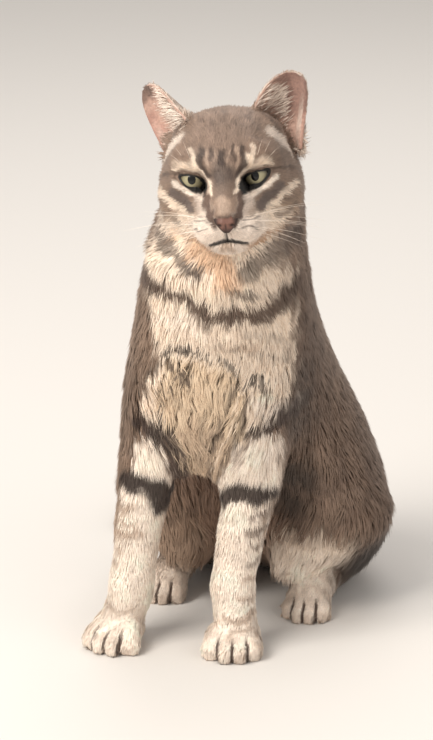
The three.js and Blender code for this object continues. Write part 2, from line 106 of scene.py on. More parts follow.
def meshPiece(name, points, triangles):
    mesh = bpy.data.meshes.new(name)
    mesh.vertices.add(len(points))
    mesh.loops.add(len(triangles) * 3)
    mesh.polygons.add(len(triangles))
    mesh.loops.foreach_set("vertex_index", triangles.astype(np.int32).ravel())
    mesh.polygons.foreach_set("loop_start", np.arange(0, len(triangles) * 3, 3, dtype=np.int32))
    mesh.polygons.foreach_set("use_smooth", np.ones(len(triangles), bool))
    setPoints(mesh, points)
    piece = bpy.data.objects.new(name, mesh)
    bpy.context.collection.objects.link(piece)
    return piece


def applyPlace(piece):
    selectOnly(piece)
    bpy.ops.object.transform_apply(location=True, rotation=True, scale=True)


def rename(piece, name):
    piece.name = name
    piece.data.name = name
    return piece


# Runs an operator in edit mode on the chosen points of a piece, or on all of them.
def inEditMode(piece, operator, chosen=None, **settings):
    selectOnly(piece)
    bpy.ops.object.mode_set(mode="EDIT")
    bpy.ops.mesh.select_mode(type="VERT")
    bpy.ops.mesh.select_all(action="SELECT" if chosen is None else "DESELECT")
    if chosen is not None:
        bpy.ops.object.mode_set(mode="OBJECT")
        piece.data.vertices.foreach_set("select", chosen)
        bpy.ops.object.mode_set(mode="EDIT")
    operator(**settings)
    bpy.ops.object.mode_set(mode="OBJECT")


def paintPoints(mesh, name, colours):
    layer = mesh.color_attributes.new(name, "FLOAT_COLOR", "POINT")
    full = np.concatenate([colours, np.ones((len(colours), 1))], 1)
    layer.data.foreach_set("color", full.astype(np.float32).ravel())


# Moves each value towards the mean of its neighbours along the edges.
def relax(values, edges, rounds, share):
    count = len(values)
    neighbours = np.bincount(edges.ravel(), minlength=count)[:, None]
    share = np.broadcast_to(np.asarray(share, float), (count,))[:, None]
    for _ in range(rounds):
        total = np.zeros_like(values)
        for axis in range(values.shape[1]):
            here, there = edges[:, 0], edges[:, 1]
            total[:, axis] += np.bincount(here, values[there, axis], count)
            total[:, axis] += np.bincount(there, values[here, axis], count)
        values = values + share * (total / neighbours - values)
    return values


def relaxShare(share, edges, rounds):
    return relax(share[:, None], edges, rounds, 1.0)[:, 0]


# Smooths points and puts back what that took off the broad forms.
def smoothed(points, edges, rounds, share, backs):
    even = relax(points, edges, rounds, share)
    for _ in range(backs):
        even = even + relax(points - even, edges, rounds, share)
    return even


# Studio.
studio = {
    "azimuth": 20.0,
    "elevation": 17.0,
    "distance": 1.9,
    "aim": (0.0267, -0.1096, 0.19),
    "lens": 138.65,
    "floor": (0.72, 0.69, 0.66),
    "world": (1.0, 0.97, 0.93),
    "worldStrength": 0.62,
    # name: azimuth, elevation, distance, size, watts, colour
    "lights": {
        "keyLight": (-30, 46, 2.2, 1.3, 52, (1.0, 0.95, 0.88)),
        "fillLight": (70, 25, 2.4, 1.8, 7, (1.0, 0.96, 0.92)),
        "backLight": (190, 50, 2.2, 1.4, 14, (1.0, 0.97, 0.94)),
    },
}


def awayFrom(azimuth, elevation):
    a = math.radians(azimuth)
    e = math.radians(elevation)
    return Vector((math.sin(a) * math.cos(e), -math.cos(a) * math.cos(e), math.sin(e)))


def buildStudio():
    scene = bpy.context.scene
    aim = Vector(studio["aim"])
    camera = bpy.data.objects.new("camera", bpy.data.cameras.new("camera"))
    camera.data.lens = studio["lens"]
    back = awayFrom(studio["azimuth"], studio["elevation"])
    camera.location = aim + back * studio["distance"]
    camera.rotation_euler = (-back).to_track_quat("-Z", "Y").to_euler()
    scene.collection.objects.link(camera)
    scene.camera = camera
    for name, (azimuth, elevation, distance, size, watts, colour) in studio["lights"].items():
        light = bpy.data.objects.new(name, bpy.data.lights.new(name, "AREA"))
        light.data.size = size
        light.data.energy = watts
        light.data.color = colour
        away = awayFrom(azimuth, elevation)
        light.location = aim + away * distance
        light.rotation_euler = (-away).to_track_quat("-Z", "Y").to_euler()
        scene.collection.objects.link(light)
    world = bpy.data.worlds.new("softRoom")
    world.use_nodes = True
    sky = world.node_tree.nodes["Background"]
    sky.inputs["Color"].default_value = (*studio["world"], 1)
    sky.inputs["Strength"].default_value = studio["worldStrength"]
    scene.world = world
    scene.view_settings.view_transform = "Standard"
    deselectAll()
    bpy.ops.mesh.primitive_plane_add(size=8, location=(0, 0, 0))
    floor = bpy.context.object
    floor.name = "floor"
    paint = bpy.data.materials.new("paleFloor")
    paint.use_nodes = True
    shader = paint.node_tree.nodes["Principled BSDF"]
    shader.inputs["Base Color"].default_value = (*studio["floor"], 1)
    shader.inputs["Roughness"].default_value = 0.85
    floor.data.materials.append(paint)


buildStudio()
print("studio ready")

# The head's own frame: X to the cat's left, -Y out of the face, Z up.
headPlan = {"yaw": 16.0, "pitch": 5.0, "roll": -4.5, "eyesAt": (0, -23.4, 1)}


def turned(axis, degrees):
    return np.array(Matrix.Rotation(math.radians(degrees), 3, axis))


def middleOf(node):
    low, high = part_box(node)
    return np.array((low + high) / 2) / mm


headAxes = turned("Z", headPlan["yaw"]) @ turned("X", -headPlan["pitch"]) @ turned("Y", headPlan["roll"])
eyeMiddles = {side: middleOf("eye_" + side) for side in ("left", "right")}
headOrigin = (eyeMiddles["left"] + eyeMiddles["right"]) / 2 - headAxes @ np.array(headPlan["eyesAt"])


def toHead(points):
    return (points - headOrigin) @ headAxes


def fromHead(points):
    return points @ headAxes.T + headOrigin


# Skin: the flesh nodes joined, smoothed and drawn in under the coat.
skinPlan = {
    "voxel": 1.35,
    "grow": 0.35,  # closes the cuts between the nodes
    "flesh": [
        "head", "neck", "trunk", "ear_left", "ear_right", "tail_base", "tail_middle", "tail_tip",
        "foreleg_left", "foreleg_right", "forepaw_left", "forepaw_right",
        "hindleg_left", "hindleg_right", "hindpaw_left", "hindpaw_right",
    ],
    "filling": ["nose", "eye_left", "eye_right"],
    # how strongly each kind of node is smoothed, first on the fine mesh and then on the thinner one
    "smoothing": {
        "trunk": 1.0, "neck": 0.9, "hindleg": 0.9, "tail": 0.6, "foreleg": 0.6,
        "head": 0.14, "nose": 0.1, "eye": 0.4, "forepaw": 0.06, "hindpaw": 0.08, "ear": 0.02,
    },
    "rounds": 70,
    "evening": {"trunk": 1.0, "neck": 1.0, "hindleg": 1.0, "tail": 0.5, "foreleg": 0.5, "head": 0.04},
    "eveningRounds": 12,
    "sunk": 0.76,  # share of the coat's depth that the skin lies inside the flesh nodes
    "earDepth": 0.45,
    "noseDepth": 3.6,
    # the fur comes over the top of the nose between these heights in the head's frame
    "hood": (-24.0, -22.6),
    "hoodDepth": -0.8,
    "plain": (0.25, 0.7),  # shares of smoothing between which the mesh begins to be thinned
    "kept": 0.3,  # share of the triangles left where it's thinned
    "floorGap": 0.3,
}
flesh, filling = skinPlan["flesh"], skinPlan["filling"]


def mergedCopy(name, grow):
    copy = bpy.data.objects.new(name + "Copy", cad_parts[name].data.copy())
    bpy.context.collection.objects.link(copy)
    inEditMode(copy, bpy.ops.mesh.remove_doubles, threshold=0.00001)
    setPoints(copy.data, pointsOf(copy.data) + normalsOf(copy.data) * grow)
    return copy


def joinedFlesh():
    copies = [mergedCopy(name, skinPlan["grow"]) for name in flesh + filling]
    deselectAll()
    for copy in copies:
        copy.select_set(True)
    bpy.context.view_layer.objects.active = copies[0]
    bpy.ops.object.join()
    skin = rename(bpy.context.object, "skin")
    skin.data.remesh_voxel_size = skinPlan["voxel"] * mm
    bpy.ops.object.voxel_remesh()
    return skin


# The CAD node that lies nearest to each point, and its kind.
def nearestNode(points):
    corners = []
    owners = []
    for name in flesh + filling:
        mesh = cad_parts[name].data
        mesh.calc_loop_triangles()
        owners += [name] * len(mesh.loop_triangles)
        spots = pointsOf(mesh)
        corners += [spots[list(triangle.vertices)] for triangle in mesh.loop_triangles]
    corners = np.concatenate(corners)
    tree = BVHTree.FromPolygons(corners.tolist(), np.arange(len(corners)).reshape(-1, 3).tolist())
    owners = [owners[tree.find_nearest(point)[2]] for point in points.tolist()]
    return np.array(owners), np.array([name.split("_")[0] for name in owners])


skin = joinedFlesh()
print("flesh joined:", len(skin.data.vertices), "vertices")


# The lie of the coat.
# Each row: place, lie, length, depth, width, clumping. Rows with x > 0 are mirrored to the other side.
headCoat = [
    # along the nose and forehead
    ((0, -58, -17), (0, 0.3, 1), 1.8, 0.5, 0.45, 0.0),
    ((0, -50, -7), (0, 0.5, 1), 3.0, 1.0, 0.5, 0.0),
    ((7, -50, -12), (0.5, 0.5, 0.8), 3.0, 1.0, 0.5, 0.0),
    ((0, -42, 8), (0, 0.5, 1), 4.0, 1.6, 0.55, 0.05),
    ((0, -34, 22), (0, 0.8, 0.8), 5.5, 2.2, 0.6, 0.1),
    ((0, -12, 35), (0, 1, 0.25), 6.5, 2.6, 0.7, 0.1),
    ((0, 15, 36), (0, 1, -0.3), 8.0, 3.2, 0.8, 0.1),
    ((0, 36, 18), (0, 0.7, -0.8), 9.0, 4.0, 0.9, 0.15),
    ((24, 0, 33), (0.25, 1, 0.2), 6.0, 2.6, 0.7, 0.1),
    # round the eyes
    ((12, -42, 6), (0.35, 0.4, 1), 3.6, 1.4, 0.5, 0.0),
    ((22, -38, 11), (0.5, 0.5, 1), 4.5, 1.8, 0.55, 0.1),
    ((32, -28, 12), (0.9, 0.7, 0.5), 5.0, 2.0, 0.6, 0.1),
    ((34, -26, 0), (1, 0.9, -0.05), 4.0, 1.6, 0.55, 0.05),
    ((22, -40, -9), (1, 0.6, -0.35), 3.6, 1.4, 0.5, 0.05),
    ((12, -46, -8), (0.7, 0.4, -0.6), 2.8, 1.0, 0.45, 0.0),
    # cheeks
    ((26, -36, -20), (1, 0.8, -0.45), 6.0, 2.4, 0.6, 0.1),
    ((38, -18, -12), (0.6, 1, -0.5), 8.0, 3.4, 0.75, 0.2),
    ((42, -2, -22), (0.35, 0.9, -0.9), 11.0, 4.6, 0.9, 0.3),
    ((40, 12, 0), (0.1, 1, -0.6), 9.5, 4.2, 0.9, 0.2),
    ((38, -6, 16), (0.3, 1, 0.0), 6.0, 2.6, 0.7, 0.1),
    ((41, 4, 14), (0.8, 0.1, 0.3), 11.0, 6.5, 0.6, 0.15),
    ((35, -4, 23), (0.75, 0.0, 0.55), 9.0, 5.0, 0.55, 0.15),
    # muzzle and chin
    ((12, -55, -26), (1, 0.45, -0.2), 3.2, 1.2, 0.5, 0.05),
    ((8, -56, -33), (0.8, 0.2, -0.7), 3.0, 1.1, 0.45, 0.0),
    ((19, -46, -31), (1, 0.7, -0.4), 4.5, 1.8, 0.55, 0.1),
    ((0, -52, -43), (0, 0.25, -1), 3.4, 1.4, 0.5, 0.1),
    ((14, -42, -44), (0.5, 0.8, -0.6), 5.5, 2.4, 0.6, 0.15),
    ((0, -36, -54), (0, 0.6, -0.8), 9.0, 4.0, 0.8, 0.25),
    ((26, -22, -44), (0.4, 0.8, -0.8), 10.0, 4.4, 0.85, 0.3),
    ((0, -14, -60), (0, 0.3, -1), 13.0, 5.5, 1.0, 0.35),
]
# x is measured from the spine's plane here, and y and z as in the model.
spineAt = 22.7
bodyCoat = [
    # neck
    ((0, -42, 290), (0, 0.6, -0.8), 12, 5.0, 1.0, 0.15),
    ((45, -62, 285), (0.1, 0.5, -0.85), 12, 5.5, 1.0, 0.2),
    ((50, -108, 268), (0.1, 0.2, -0.95), 14, 6.5, 1.1, 0.35),
    ((12, -150, 262), (0, -0.05, -1), 15, 7.0, 1.1, 0.4),
    # chest
    ((10, -150, 232), (0, 0.05, -1), 18, 8.0, 1.2, 0.5),
    ((10, -148, 195), (-0.1, 0, -1), 22, 9.0, 1.3, 0.6),
    ((44, -126, 190), (-0.4, -0.1, -0.9), 21, 8.5, 1.3, 0.55),
    ((14, -142, 155), (-0.3, 0.15, -1), 25, 10, 1.3, 0.7),
    ((36, -126, 150), (-0.5, 0.1, -0.85), 18, 7.0, 1.2, 0.5),
    ((0, -112, 118), (0, 0.35, -0.95), 24, 9.0, 1.3, 0.6),
    # shoulders, back and flanks
    ((60, -90, 215), (0.05, 0.3, -0.95), 14, 5.0, 1.1, 0.2),
    ((60, -80, 165), (0, 0.2, -1), 13, 4.5, 1.1, 0.2),
    ((0, -22, 245), (0, 0.55, -0.83), 15, 6.0, 1.2, 0.2),
    ((0, 15, 190), (0, 0.5, -0.86), 16, 6.5, 1.2, 0.2),
    ((0, 58, 130), (0, 0.5, -0.87), 17, 6.5, 1.3, 0.2),
    ((0, 90, 75), (0, 0.45, -0.9), 17, 6.5, 1.3, 0.2),
    ((0, 84, 25), (0, 0.3, -0.95), 14, 5.5, 1.2, 0.2),
    ((58, -30, 195), (0.05, 0.45, -0.88), 16, 6.0, 1.2, 0.2),
    ((60, 10, 150), (0.05, 0.35, -0.93), 17, 6.5, 1.2, 0.25),
    ((60, -50, 140), (0, 0.1, -1), 18, 7.0, 1.2, 0.3),
    # belly
    ((0, -62, 90), (0, 0.1, -1), 24, 9.0, 1.3, 0.6),
    ((0, -55, 45), (0, 0.2, -1), 22, 8.5, 1.3, 0.6),
    # haunches
    ((72, 0, 135), (0.3, -0.1, -0.9), 16, 6.0, 1.2, 0.2),
    ((74, -58, 108), (0.15, -0.3, -0.93), 15, 6.0, 1.2, 0.25),
    ((96, -35, 88), (0.1, -0.1, -1), 16, 6.0, 1.2, 0.25),
    ((92, 20, 75), (0.15, 0.2, -0.95), 17, 6.5, 1.2, 0.25),
    ((68, 60, 65), (0.1, 0.45, -0.9), 17, 6.5, 1.2, 0.25),
    ((88, -15, 35), (0.05, -0.25, -0.97), 15, 5.5, 1.2, 0.25),
    ((46, -63, 75), (-0.3, -0.1, -0.95), 22, 7.5, 1.2, 0.6),
    ((52, -62, 45), (-0.15, -0.2, -0.95), 18, 6.0, 1.1, 0.5),
    # hind feet
    ((52, -40, 27), (0, -1, -0.2), 7.5, 2.6, 0.85, 0.1),
    ((52, -58, 22), (0, -0.9, -0.4), 5.5, 2.0, 0.7, 0.1),
    ((52, -70, 10), (0, -0.5, -0.85), 4.0, 1.4, 0.6, 0.05),
    ((70, -50, 10), (0.3, -0.8, -0.5), 5.0, 1.8, 0.7, 0.05),
]
bodyShare = (0.9, 0.64, 0.74, 0.9)  # of the lengths, depths, widths and clumping above
legCoat = {
    "heights": (115, 85, 55, 36),
    "lengths": (9.5, 7.5, 6.5, 5.5),
    "depths": (3.6, 2.8, 2.3, 2.0),
    "width": 0.52,
    "clumping": 0.04,
    "lie": (0, -0.15, -1.0),
}
# over each paw: how far back from its front, height, lie, and length, depth, width and clumping
pawCoat = [
    (22, 24, (0, -0.85, -0.5), (5.0, 1.7, 0.65, 0.05)),
    (4, 9, (0, -0.5, -0.9), (3.8, 1.2, 0.65, 0.0)),
]
tailCoat = {
    "route": [
        (28, 56, 44), (27, 86, 27), (17, 118, 19), (-9, 148, 16), (-47, 160, 15),
        (-83, 148, 14), (-107, 118, 13), (-109, 86, 11), (-103, 62, 10),
    ],
    "length": 13,
    "depth": 5.0,
    "width": 1.1,
    "clumping": 0.2,
}
earCoat = {
    "sizes": (4.2, 0.9, 0.5, 0.0),  # length, depth, width, clumping
    "insideLengths": (4.0, 11.0),  # of the short hair and of the long loose hair
    "insideDepths": (0.8, 5.0),
    "insideWidth": 0.42,
    "insideLie": (0.85, -0.1, 0.5),
    "footLie": (0.5, -0.1, -0.9),
}


def flip(vector, side):
    return np.array([vector[0] * side, vector[1], vector[2]], float)


def mirroredRows(rows, toPlace, toLie):
    for place, lie, *sizes in rows:
        for side in (1, -1) if place[0] > 0 else (1,):
            yield toPlace(flip(place, side)), toLie(flip(lie, side)), sizes


def coatGuides():
    onSpine = np.array([spineAt, 0, 0])
    rows = list(mirroredRows(headCoat, fromHead, lambda lie: headAxes @ lie))
    for place, lie, sizes in mirroredRows(bodyCoat, lambda place: place + onSpine, lambda lie: lie):
        rows.append((place, lie, [size * share for size, share in zip(sizes, bodyShare)]))
    for side in ("left", "right"):
        legMiddle = middleOf("foreleg_" + side)
        for height, length, depth in zip(legCoat["heights"], legCoat["lengths"], legCoat["depths"]):
            sizes = [length, depth, legCoat["width"], legCoat["clumping"]]
            for aside in (-12, 12):
                place = (legMiddle[0] + aside, legMiddle[1] - 8, height)
                rows.append((place, legCoat["lie"], sizes))
        low, high = (np.array(corner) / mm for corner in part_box("forepaw_" + side))
        for across in (0.2, 0.5, 0.8):
            x = low[0] + (high[0] - low[0]) * across
            for back, height, lie, sizes in pawCoat:
                rows.append(((x, low[1] + back, height), lie, sizes))
    route = np.array(tailCoat["route"], float)
    sizes = [tailCoat[key] for key in ("length", "depth", "width", "clumping")]
    for here, lie in zip(route, np.gradient(route, axis=0)):
        rows.append((here, lie, sizes))
    places, lies, sizes = (np.array(column, float) for column in zip(*rows))
    return places, unit(lies), sizes


guides = coatGuides()


# The lie and the sizes of the coat at each point, from the guides near it.
def coatAt(points):
    places, lies, sizes = guides
    lie = np.empty_like(points)
    size = np.empty((len(points), sizes.shape[1]))
    for start in range(0, len(points), 20000):
        part = slice(start, start + 20000)
        squared = ((points[part, None] - places[None]) ** 2).sum(2)
        weight = 1 / (squared + 30) ** 2
        weight /= weight.sum(1, keepdims=True)
        lie[part] = weight @ lies
        size[part] = weight @ sizes
    return lie, size


# Drawing the skin in, and its face.
def drawnIn(skin):
    mesh = skin.data
    points = pointsOf(mesh)
    edges = edgesOf(mesh)
    kinds = nearestNode(points)[1]
    share = np.array([skinPlan["smoothing"][kind] for kind in kinds])
    share = relaxShare(share, edges, 6)
    points = smoothed(points, edges, skinPlan["rounds"], share * 0.9, 1)
    setPoints(mesh, points)
    depth = coatAt(points)[1][:, 1]
    depth = np.where(kinds == "ear", skinPlan["earDepth"], depth)
    hooded = smoothStep(*skinPlan["hood"], toHead(points)[:, 2])
    noseDepth = mixed(skinPlan["noseDepth"], skinPlan["hoodDepth"], hooded)
    depth = np.where(kinds == "nose", noseDepth / skinPlan["sunk"], depth)
    # it still rests on the floor
    depth = np.minimum(depth * skinPlan["sunk"], np.maximum(0.4, points[:, 2] * 0.5))
    depth = relax(depth[:, None], edges, 8, 1.0)
    setPoints(mesh, points - normalsOf(mesh) * depth)
    return share


def thinOut(skin, share):
    group = skin.vertex_groups.new(name="plain")
    for number, weight in enumerate(smoothStep(*skinPlan["plain"], share).tolist()):
        if weight > 0.02:
            group.add([number], weight, "REPLACE")
    selectOnly(skin)
    thinner = skin.modifiers.new("thinner", "DECIMATE")
    thinner.vertex_group = "plain"
    thinner.ratio = skinPlan["kept"]
    bpy.ops.object.modifier_apply(modifier="thinner")
    skin.vertex_groups.clear()


thinOut(skin, drawnIn(skin))
print("skin drawn in:", len(skin.data.vertices), "vertices")


# The body's broad forms are evened out on the thinner mesh.
def evenedOut(skin):
    mesh = skin.data
    points = pointsOf(mesh)
    edges = edgesOf(mesh)
    kinds = nearestNode(points)[1]
    share = np.array([skinPlan["evening"].get(kind, 0.0) for kind in kinds])
    share = relaxShare(share, edges, 4)
    points = smoothed(points, edges, skinPlan["eveningRounds"], share, 2)
    points[:, 2] = np.maximum(points[:, 2], skinPlan["floorGap"])
    setPoints(mesh, points)


# Face: eyelids, lips and nose are worked in the head's own frame.
face = {
    # the opening between the lids as (x, z), from the outer corner over the top to the inner one and back
    "lids": [
        (29.4, 2.9), (26.2, 3.5), (21.8, 3.3), (17.8, 2.2), (15.0, -0.1), (13.5, -3.7),
        (14.4, -6.3), (17.6, -6.7), (21.4, -5.9), (25.0, -3.9), (27.8, -0.6),
    ],
    "innerReach": {1: 1.4, -1: 0.0},  # how much further each opening runs towards the nose
    "chord": (-6.3, 2.5),  # heights of its inner and outer corner
    "lidMiddle": (20.5, -1.8),
    "lidRound": 15,  # how far from that the eye's surroundings reach, and how high
    "lidHigh": 14,
    "lower": 0.8,  # how far both eyes sit below the CAD's
    "aside": -1.0,  # how far both eyes sit off the middle of the face
    "lidThickness": 0.55,
    "lidSlope": 0.22,  # how much thicker the lid gets with each millimetre from its edge
    "brow": 0.5,  # how much thicker the upper lid is
    "browFrom": (-0.5, 2.5),  # heights over the eye's centre between which that begins
    "lidBlend": (1.0, 6.0),  # distances from the edge between which the lid becomes the face
    "lidFront": (-2, -6),  # how far ahead of the eye's centre the lid begins
    "lidInner": (18, 14),  # how near the nose the skin goes straight back
    "lidCrisp": 0.33,  # points this near to the lids' edge slide onto it
    # half of the mouth from the middle outwards, as (x, z), and the groove above it
    "jaw": (-50.0, 0.012),  # height of the jaw's line at the chin, and how it rises with x squared
    "mouth": [(0, -37.0), (3.5, -37.5), (7.2, -38.6), (11.2, -40.1)],
    "philtrum": [(0, -31), (0, -37.0)],
    "grooveDepth": 1.3,
    "grooveWidth": 0.85,
}
eyeRadius = float((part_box("eye_left")[1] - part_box("eye_left")[0])[0]) / mm / 2


def lidKnots(side):
    knots = np.array(face["lids"])
    knots[:, 0] -= face["innerReach"][side] * smoothStep(*face["lidInner"], knots[:, 0])
    return knots


# The edge of the eyelids as (x, z) on a smooth closed curve.
def lidEdge(side, count=72):
    knots = lidKnots(side)
    at = np.linspace(0, len(knots), count, endpoint=False)
    start = np.floor(at).astype(int)
    t = (at - start)[:, None]
    before, here, after, beyond = (knots[(start + k) % len(knots)] for k in (-1, 0, 1, 2))
    curve = here + t / 2 * (after - before)
    curve += t ** 2 * (before - 2.5 * here + 2 * after - 0.5 * beyond)
    curve += t ** 3 * (1.5 * (here - after) + 0.5 * (beyond - before))
    return curve * (side, 1) + (face["aside"], 0)


# Which places are near an eye, seen from the front, and how far each of those is outside its lids.
def roundEye(flat, side, where):
    near = where & (np.abs(flat[:, 0] * side - face["lidMiddle"][0]) < face["lidRound"])
    near &= np.abs(flat[:, 1]) < face["lidHigh"]
    return near, outsideOf(flat[near], lidEdge(side))[0]


# The same for the line of the mouth.
def roundMouth(flat, where):
    near = where & (np.abs(flat[:, 0]) < 16) & (np.abs(flat[:, 1] + 38) < 4)
    return near, distanceToPath(flat[near], mouthPath)[0]


def eyeCentre(side):
    across = side * abs(toHead(eyeMiddles["left"])[0]) + face["aside"]
    return np.array([across, headPlan["eyesAt"][1], headPlan["eyesAt"][2] - face["lower"]])


def distanceToPath(spots, path, closed=False):
    ends = np.roll(path, -1, axis=0) if closed else path[1:]
    starts = path if closed else path[:-1]
    run = ends - starts
    squared = np.maximum((run ** 2).sum(1), 1e-9)
    off = spots[:, None] - starts[None]
    share = np.clip((off * run[None]).sum(2) / squared, 0, 1)
    nearest = starts[None] + run[None] * share[..., None]
    gaps = np.linalg.norm(spots[:, None] - nearest, axis=2)
    best = gaps.argmin(1)
    rows = np.arange(len(spots))
    return gaps[rows, best], nearest[rows, best]


def insidePath(spots, path):
    ends = np.roll(path, -1, axis=0)
    x, z = spots[:, :1], spots[:, 1:]
    crosses = (path[None, :, 1] > z) != (ends[None, :, 1] > z)
    rise = np.where(np.abs(ends[:, 1] - path[:, 1]) < 1e-9, 1e-9, ends[:, 1] - path[:, 1])
    at = path[:, 0] + (z - path[:, 1]) * (ends[:, 0] - path[:, 0]) / rise
    return (crosses & (x < at)).sum(1) % 2 == 1


# How far each spot is outside a closed outline, negative inside it, and the nearest place on that.
def outsideOf(spots, outline):
    gap, nearest = distanceToPath(spots, outline, closed=True)
    return np.where(insidePath(spots, outline), -gap, gap), nearest


def finerFace(skin):
    spots = toHead(pointsOf(skin.data))
    x, y, z = spots.T
    middle = face["lidMiddle"]
    near = (np.hypot(np.abs(x) - middle[0], z - middle[1]) < face["lidRound"]) & (y < -20)
    near |= (np.abs(x) < 17) & (z < -26) & (z > -46) & (y < -36)
    inEditMode(skin, bpy.ops.mesh.subdivide, near, number_cuts=1)


# Rows of four toes: the knuckles' place, the turn of the foot, the gap from toe to toe and the toes' height.
toeRows = [
    ((48.7, -137.6), -18, 9.74, 18),
    ((-30.3, -151.6), 6, 9.74, 18),
    ((74.7, -52.6), -3, 8.35, 19),
    ((-31.3, -52.6), 3, 8.35, 19),
]
toePlan = {
    "cleftDepth": 2.2,
    "cleftWidth": 1.05,
    "crown": 0.5,
    "crownWidth": 2.6,
    "top": 26,
    "spread": (0.72, 0.28),  # gap from toe to toe at the knuckles, and how much it widens
    "widest": 14,  # how far forward of the knuckles it has widened by that much
    "from": (1, 8),  # how far forward of the knuckles the clefts begin, and where they end
    "until": (30, 24),
    "round": 7,  # how far below the toes' top the clefts are full
}


# For each point its distance from the nearest cleft between two toes, how far it is forward of the knuckles,
# and how fully the cleft is there.
def cleftAt(points, row):
    knuckles, turn, gapAcross, top = row
    turn = math.radians(turn)
    off = points[:, :2] - np.array(knuckles)
    aside = off[:, 0] * math.cos(turn) - off[:, 1] * math.sin(turn)
    forward = -off[:, 0] * math.sin(turn) - off[:, 1] * math.cos(turn)
    narrow, widening = toePlan["spread"]
    spread = narrow + widening * np.clip((forward + 2) / toePlan["widest"], 0, 1.2)
    step = aside / (gapAcross * spread)
    gap = np.abs(step - np.clip(np.round(step), -1, 1)) * gapAcross * spread
    there = smoothStep(*toePlan["from"], forward) * smoothStep(*toePlan["until"], forward)
    there = there * (np.abs(step) < 2.6) * smoothStep(top, top - toePlan["round"], points[:, 2])
    return gap, forward, there


def finerToes(skin):
    points = pointsOf(skin.data)
    near = np.zeros(len(points), bool)
    for row in toeRows:
        near |= (cleftAt(points, row)[2] > 0) & (points[:, 2] < toePlan["top"])
    inEditMode(skin, bpy.ops.mesh.subdivide, near, number_cuts=1)


def shapedToes(skin):
    points = pointsOf(skin.data)
    normals = normalsOf(skin.data)
    for row in toeRows:
        gap, _, there = cleftAt(points, row)
        cleft = toePlan["cleftDepth"] * bump(gap, toePlan["cleftWidth"])
        crown = toePlan["crown"] * bump(gap - row[2] / 2, toePlan["crownWidth"])
        points -= normals * ((cleft - crown) * there)[:, None]
    points[:, 2] = np.maximum(points[:, 2], skinPlan["floorGap"])
    setPoints(skin.data, points)


def shapedLids(points, side):
    centre = eyeCentre(side)
    near = np.where((np.linalg.norm(points - centre, axis=1) < 24) & (points[:, 1] < centre[1] + 2))[0]
    gap, nearest = outsideOf(points[near][:, [0, 2]], lidEdge(side))
    slide = np.abs(gap) < face["lidCrisp"]
    points[near[slide], 0] = nearest[slide, 0]
    points[near[slide], 2] = nearest[slide, 1]
    gap[slide] = 0
    away = points[near] - centre
    reach = np.linalg.norm(away, axis=1)
    overhang = face["brow"] * smoothStep(*face["browFrom"], away[:, 2])
    lid = eyeRadius + face["lidThickness"] + overhang + face["lidSlope"] * np.maximum(gap, 0)
    wanted = mixed(lid, np.maximum(reach, lid), smoothStep(*face["lidBlend"], gap))
    # inside the opening the skin folds back under the eyeball
    wanted = np.where(gap < -0.1, eyeRadius - 2.2, wanted)
    wanted = np.where(gap < -1.2, eyeRadius * 0.6, wanted)
    front = smoothStep(*face["lidFront"], away[:, 1])
    wanted = mixed(reach, wanted, front)
    pulled = away * (wanted / np.maximum(reach, 1e-6))[:, None]
    # towards the nose the skin stands ahead of the eye, so there it goes straight back, not aside
    depth = np.sqrt(np.maximum(wanted ** 2 - away[:, 0] ** 2 - away[:, 2] ** 2, 0))
    straight = np.stack([away[:, 0], -depth, away[:, 2]], 1)
    inner = smoothStep(*face["lidInner"], (points[near, 0] - face["aside"]) * side) * front
    points[near] = centre + mixed(pulled, straight, inner[:, None])


def shapedFace(skin):
    points = toHead(pointsOf(skin.data))
    for side in (1, -1):
        shapedLids(points, side)
    front = np.where((np.abs(points[:, 0]) < 20) & (points[:, 1] < -35) & (points[:, 2] < -25))[0]
    spots = points[front][:, [0, 2]]
    for path in (mouthPath, np.array(face["philtrum"], float)):
        gap = distanceToPath(spots, path)[0]
        points[front, 1] += face["grooveDepth"] * bump(gap, face["grooveWidth"])
    setPoints(skin.data, fromHead(points))


halfMouth = np.array(face["mouth"], float)
mouthPath = np.concatenate([halfMouth[:0:-1] * (-1, 1), halfMouth])
evenedOut(skin)
finerFace(skin)
shapedFace(skin)
finerToes(skin)
shapedToes(skin)
skin.data.polygons.foreach_set("use_smooth", np.ones(len(skin.data.polygons), bool))
print("face shaped:", len(skin.data.vertices), "vertices")


# Eyes.
eyePlan = {
    "bulge": 0.7,
    "bulgeAngle": 42.0,
    "mapWidth": 22.0,  # millimetres across the map of the eye
    "gaze": {"left": (-0.12, -0.99, 0.01), "right": (0.02, -0.995, 0.03)},
    "rimRadius": 0.75,
    "rimOut": 0.3,  # how far the rim's middle stands off the eyeball
}


